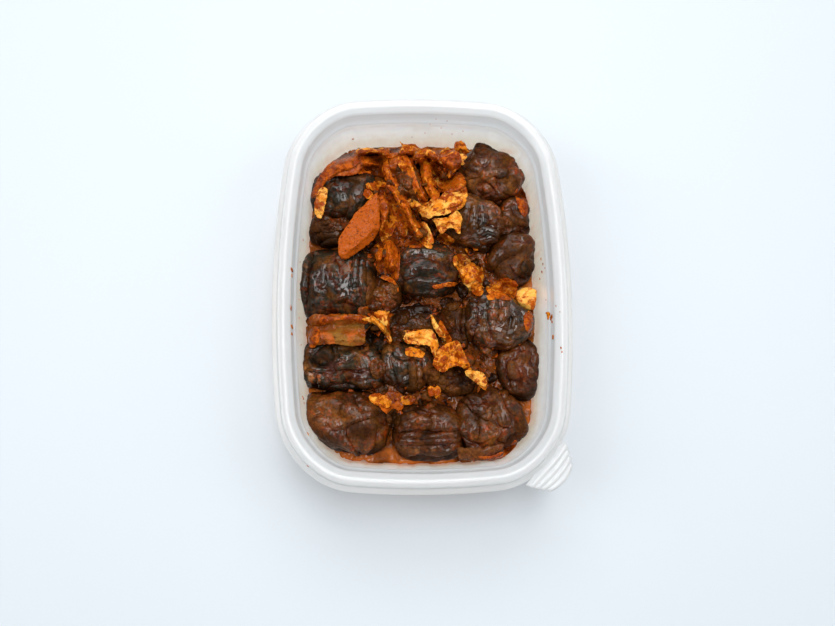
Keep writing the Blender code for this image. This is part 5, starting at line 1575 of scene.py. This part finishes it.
class MEAL_OT_sauce(bpy.types.Operator):
    """Build the lumpy red sauce, which climbs a little at the walls"""

    bl_idname = "meal.sauce"
    bl_label = "Sauce"

    def execute(self, context):
        settings = context.scene.meal_sauce
        tub = context.scene.meal_tub
        rings = [ring_at(offset * MM, height * MM, tub) for offset, height in SAUCE_EDGE]
        rings.append(ring_at(wall_offset(SAUCE_EDGE_TOP) - 0.12 * MM, SAUCE_EDGE_TOP, tub))
        outline = rings[-1]
        for step in range(1, SAUCE_RINGS):
            scale = 1 - step / SAUCE_RINGS
            rise = min(1.0, (1 - scale) / 0.3)
            level = (15.0 + 5.0 * rise) * MM + 1.4 * MM * math.exp(-step / 1.2)
            ring = []
            for point in outline:
                place = Vector((point.x * scale, point.y * scale, 0.0))
                place.z = level + 2.2 * MM * noise.noise(place / (11.0 * MM))
                ring.append(place)
            rings.append(ring)
        sauce = new_piece("sauce", loft(rings))
        oily = sauce.data.attributes.new("oily", "FLOAT", "POINT")
        for ring_index in range(len(rings)):
            depth = max(0, ring_index - len(SAUCE_EDGE))
            for index in range(OUTLINE_POINTS):
                oily.data[ring_index * OUTLINE_POINTS + index].value = math.exp(-depth / 7.0)
        add_tree(sauce, tree_named("Wrinkled Skin", wrinkle_tree), {
            "Turn": 0.0, "Stretch": (1.0, 1.0, 1.0), "Variety": (0.2, 0.1, 0.0),
            "Lump Size": 6.0 * MM, "Lump Depth": 0.6 * MM,
            "Fold Size": settings.lump_size, "Fold Depth": settings.lump_depth,
            "Wrinkle Size": 1.5 * MM, "Wrinkle Depth": 0.3 * MM,
            "Material": sauce_material(settings, context.scene.meal_vegetables)})
        apply_modifiers(sauce)
        finish_piece(sauce, "red_sauce", "sauce_bed")
        return {"FINISHED"}


class MEAL_OT_vegetables(bpy.types.Operator):
    """Build the crumpled cabbage, the onion, the carrot slices and the shreds"""

    bl_idname = "meal.vegetables"
    bl_label = "Vegetables"

    def execute(self, context):
        settings = context.scene.meal_vegetables
        crumple = tree_named("Crumpled Leaf", crumple_tree)
        for node, (start, bend, bend_up, crumpled, crumpled_up, finish) in LEAVES.items():
            thing = copy_of_node(node, node + "_leaf", settings.voxel)
            add_tree(thing, crumple, {
                "Variety": (0.011 * start, 0.017 * start, 0.0),
                "Bend Size": 6.0 * MM, "Bend": (bend * MM, bend * MM, bend_up * MM),
                "Crumple Size": 2.3 * MM, "Crumple": (crumpled * MM, crumpled * MM, crumpled_up * MM),
                "Material": finish_named(finish)})
            finish_piece(keep_inside(apply_modifiers(thing)), SLOTS[node.split("_")[0]], node)
        wrinkle = tree_named("Wrinkled Skin", wrinkle_tree)
        for index, node in enumerate(CHUNKS):
            thing = copy_of_node(node, node + "_chunk", settings.voxel)
            add_tree(thing, wrinkle, {
                "Stretch": (1.0, 1.0, 1.0), "Variety": (0.31 + 0.02 * index, 0.0, 0.0),
                "Lump Size": 5.0 * MM, "Lump Depth": 1.2 * MM, "Fold Size": 3.6 * MM, "Fold Depth": 1.1 * MM,
                "Wrinkle Size": 1.5 * MM, "Wrinkle Depth": 0.3 * MM,
                "Material": finish_named("cabbage_plain")})
            finish_piece(keep_inside(apply_modifiers(thing)), "stained_cabbage", node)
        self.lay_leaves(crumple)
        return {"FINISHED"}

    def lay_leaves(self, crumple):
        """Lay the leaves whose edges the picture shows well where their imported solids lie."""
        for index, (node, (finish, rows)) in enumerate(LAID.items()):
            (style, outline), *strokes = read_rows(rows)
            shape = bmesh.new()
            lay_sheet(shape, outline, search_tree([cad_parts[node]]), LAY_STYLES[style], index)
            thing = new_piece(node + "_leaf", shape)
            add_modifier(thing, "SUBSURF", levels=1, render_levels=1)
            apply_modifiers(thing)
            carve(thing, strokes)
            add_tree(thing, crumple, {
                "Variety": (0.013 * index, 0.019 * index, 0.0), "Bend": (0.0, 0.0, 0.0),
                "Crumple Size": 1.8 * MM, "Crumple": (0.5 * MM, 0.5 * MM, 0.6 * MM),
                "Material": finish_named(finish)})
            finish_piece(keep_inside(apply_modifiers(thing)), SLOTS[node.split("_")[0]], node)


class MEAL_OT_chopped(bpy.types.Operator):
    """Lay the chopped scraps of cabbage, onion, skin and meat between and on the large pieces"""

    bl_idname = "meal.chopped"
    bl_label = "Chopped Scraps"

    def execute(self, context):
        crumple = tree_named("Crumpled Leaf", crumple_tree)
        for index, (name, (finish, slot, rows)) in enumerate(CHOPPED.items()):
            food = [thing for thing in context.scene.objects if thing.type == "MESH"
                    and thing.name.endswith(("_skin", "_leaf", "_chunk", "_mass", "sauce", "tub_shell"))]
            support = search_tree(food)
            shape = bmesh.new()
            for number, (style, outline) in enumerate(read_rows(rows)):
                lay_sheet(shape, outline, support, LAY_STYLES[style], index * 20 + number)
            thing = new_piece(name, shape)
            add_modifier(thing, "SUBSURF", levels=1, render_levels=1)
            add_tree(thing, crumple, {
                "Variety": (0.017 * index, 0.023 * index, 0.4), "Bend": (0.0, 0.0, 0.0),
                "Crumple Size": 1.6 * MM, "Crumple": (0.45 * MM, 0.45 * MM, 0.55 * MM),
                "Material": finish_named(finish)})
            finish_piece(keep_inside(apply_modifiers(thing)), slot)
        return {"FINISHED"}


class MEAL_OT_bits(bpy.types.Operator):
    """Scatter crumbs, scraps and flakes in the gaps between the pieces"""

    bl_idname = "meal.bits"
    bl_label = "Loose Bits"

    def execute(self, context):
        settings = context.scene.meal_bits
        drape = self.drape()
        for index, (name, kind) in enumerate(BITS.items()):
            finish, slot, size, lift, tilt, bend_size, bend, rounded = kind
            density = getattr(settings, name.split("_")[1])
            piece = drape.copy()
            piece.data = drape.data.copy()
            piece.name = name
            piece.data.name = name
            context.scene.collection.objects.link(piece)
            add_tree(piece, tree_named("Scattered Scraps", scatter_tree), {
                "Density": density / MM / MM, "Seed": settings.seed + index * 11,
                "Size": tuple(s * MM for s in size), "Least Size": LEAST_BIT, "Lift": lift * MM, "Tilt": tilt,
                "Bend Size": bend_size * MM, "Bend": bend * MM, "Round": rounded,
                "Material": finish_named(finish)})
            finish_piece(keep_inside(apply_modifiers(piece)), slot)
        bpy.data.objects.remove(drape, do_unlink=True)
        return {"FINISHED"}

    def drape(self):
        """A grid laid over all the food, which knows how deep in a gap each of its points lies."""
        food = [thing for name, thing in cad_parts.items() if name != "tub"]
        search = search_tree(food)
        shape = bmesh.new()
        bmesh.ops.create_grid(shape, x_segments=124, y_segments=174, size=1.0)
        heights = {}
        for vertex in shape.verts:
            x, y = vertex.co.x * 62 * MM, vertex.co.y * 87 * MM
            hit = search.ray_cast(Vector((x, y, 0.08)), Vector((0, 0, -1)))
            heights[vertex] = hit[0].z if hit[0] is not None else 0.0
            vertex.co = (x, y, heights[vertex])
        lost = [v for v in shape.verts if heights[v] < 8 * MM]
        bmesh.ops.delete(shape, geom=lost, context="VERTS")
        drape = new_piece("drape", shape)
        if drape.data.polygons[0].normal.z < 0:
            drape.data.flip_normals()
        gap = drape.data.attributes.new("gap", "FLOAT", "POINT")
        for index, vertex in enumerate(drape.data.vertices):
            outwards = (vertex.co.x / (56 * MM)) ** 4 + (vertex.co.y / (80 * MM)) ** 4
            low = 1 - ease(vertex.co.z, 20 * MM, 26 * MM)
            gap.data[index].value = low * (1 - ease(outwards, 0.45, 0.75))
        return drape


class MEAL_OT_specks(bpy.types.Operator):
    """Put the specks of sauce on the tub's rim and walls"""

    bl_idname = "meal.specks"
    bl_label = "Specks"

    def execute(self, context):
        search = search_tree([bpy.data.objects["tub_shell"]])
        shape = bmesh.new()
        for index, (length, width, turn, [(across, down)]) in enumerate(read_rows(SPECKS)):
            place, normal, _, _ = search.ray_cast(CAMERA_AT, picture_ray(across, down))
            if place is None:
                raise RuntimeError(f"speck {index} doesn't meet the tub")
            frame = normal.to_track_quat("Z", "Y").to_matrix()
            made = bmesh.ops.create_icosphere(shape, subdivisions=2, radius=0.5)
            for vertex in made["verts"]:
                x, y, z = vertex.co
                local = Vector((x * length * 1.4, y * width * 1.4, z * 0.5)) * MM
                local *= 1 + 0.5 * noise.noise(local / (0.7 * MM) + Vector((index * 2.3, 0.0, 0.0)))
                local.rotate(Matrix.Rotation(math.radians(turn), 3, "Z"))
                vertex.co = place + frame @ local
        specks = new_piece("sauce_specks", shape, finish_named("flake"))
        mark_points(specks.data, "crease", np.full(len(specks.data.vertices), 0.6))
        finish_piece(specks, "red_sauce")
        return {"FINISHED"}


class MEAL_PT_panel(bpy.types.Panel):
    """Lists the steps that build the meal's looks"""

    bl_idname = "MEAL_PT_panel"
    bl_label = "Packed Meal"
    bl_space_type = "VIEW_3D"
    bl_region_type = "UI"
    bl_category = "Meal"

    def draw(self, context):
        for step in STEPS:
            self.layout.operator(step.bl_idname)


STEPS = (MEAL_OT_stage, MEAL_OT_tub, MEAL_OT_skins, MEAL_OT_sauce, MEAL_OT_vegetables, MEAL_OT_chopped,
         MEAL_OT_bits, MEAL_OT_specks)
SETTINGS = {"meal_tub": MealTubSettings, "meal_skin": MealSkinSettings, "meal_sauce": MealSauceSettings,
            "meal_vegetables": MealVegetableSettings, "meal_bits": MealBitSettings,
            "meal_stage": MealStageSettings}


def register():
    """Make the settings, steps and panel known to Blender."""
    for name, settings in SETTINGS.items():
        bpy.utils.register_class(settings)
        setattr(bpy.types.Scene, name, bpy.props.PointerProperty(type=settings))
    for step in STEPS:
        bpy.utils.register_class(step)
    bpy.utils.register_class(MEAL_PT_panel)


def unregister():
    """Take the panel, steps and settings away again."""
    bpy.utils.unregister_class(MEAL_PT_panel)
    for step in reversed(STEPS):
        bpy.utils.unregister_class(step)
    for name, settings in reversed(list(SETTINGS.items())):
        delattr(bpy.types.Scene, name)
        bpy.utils.unregister_class(settings)


def main():
    """Build everything."""
    register()
    for step in STEPS:
        group, name = step.bl_idname.split(".")
        getattr(getattr(bpy.ops, group), name)()


if __name__ == "__main__":
    main()
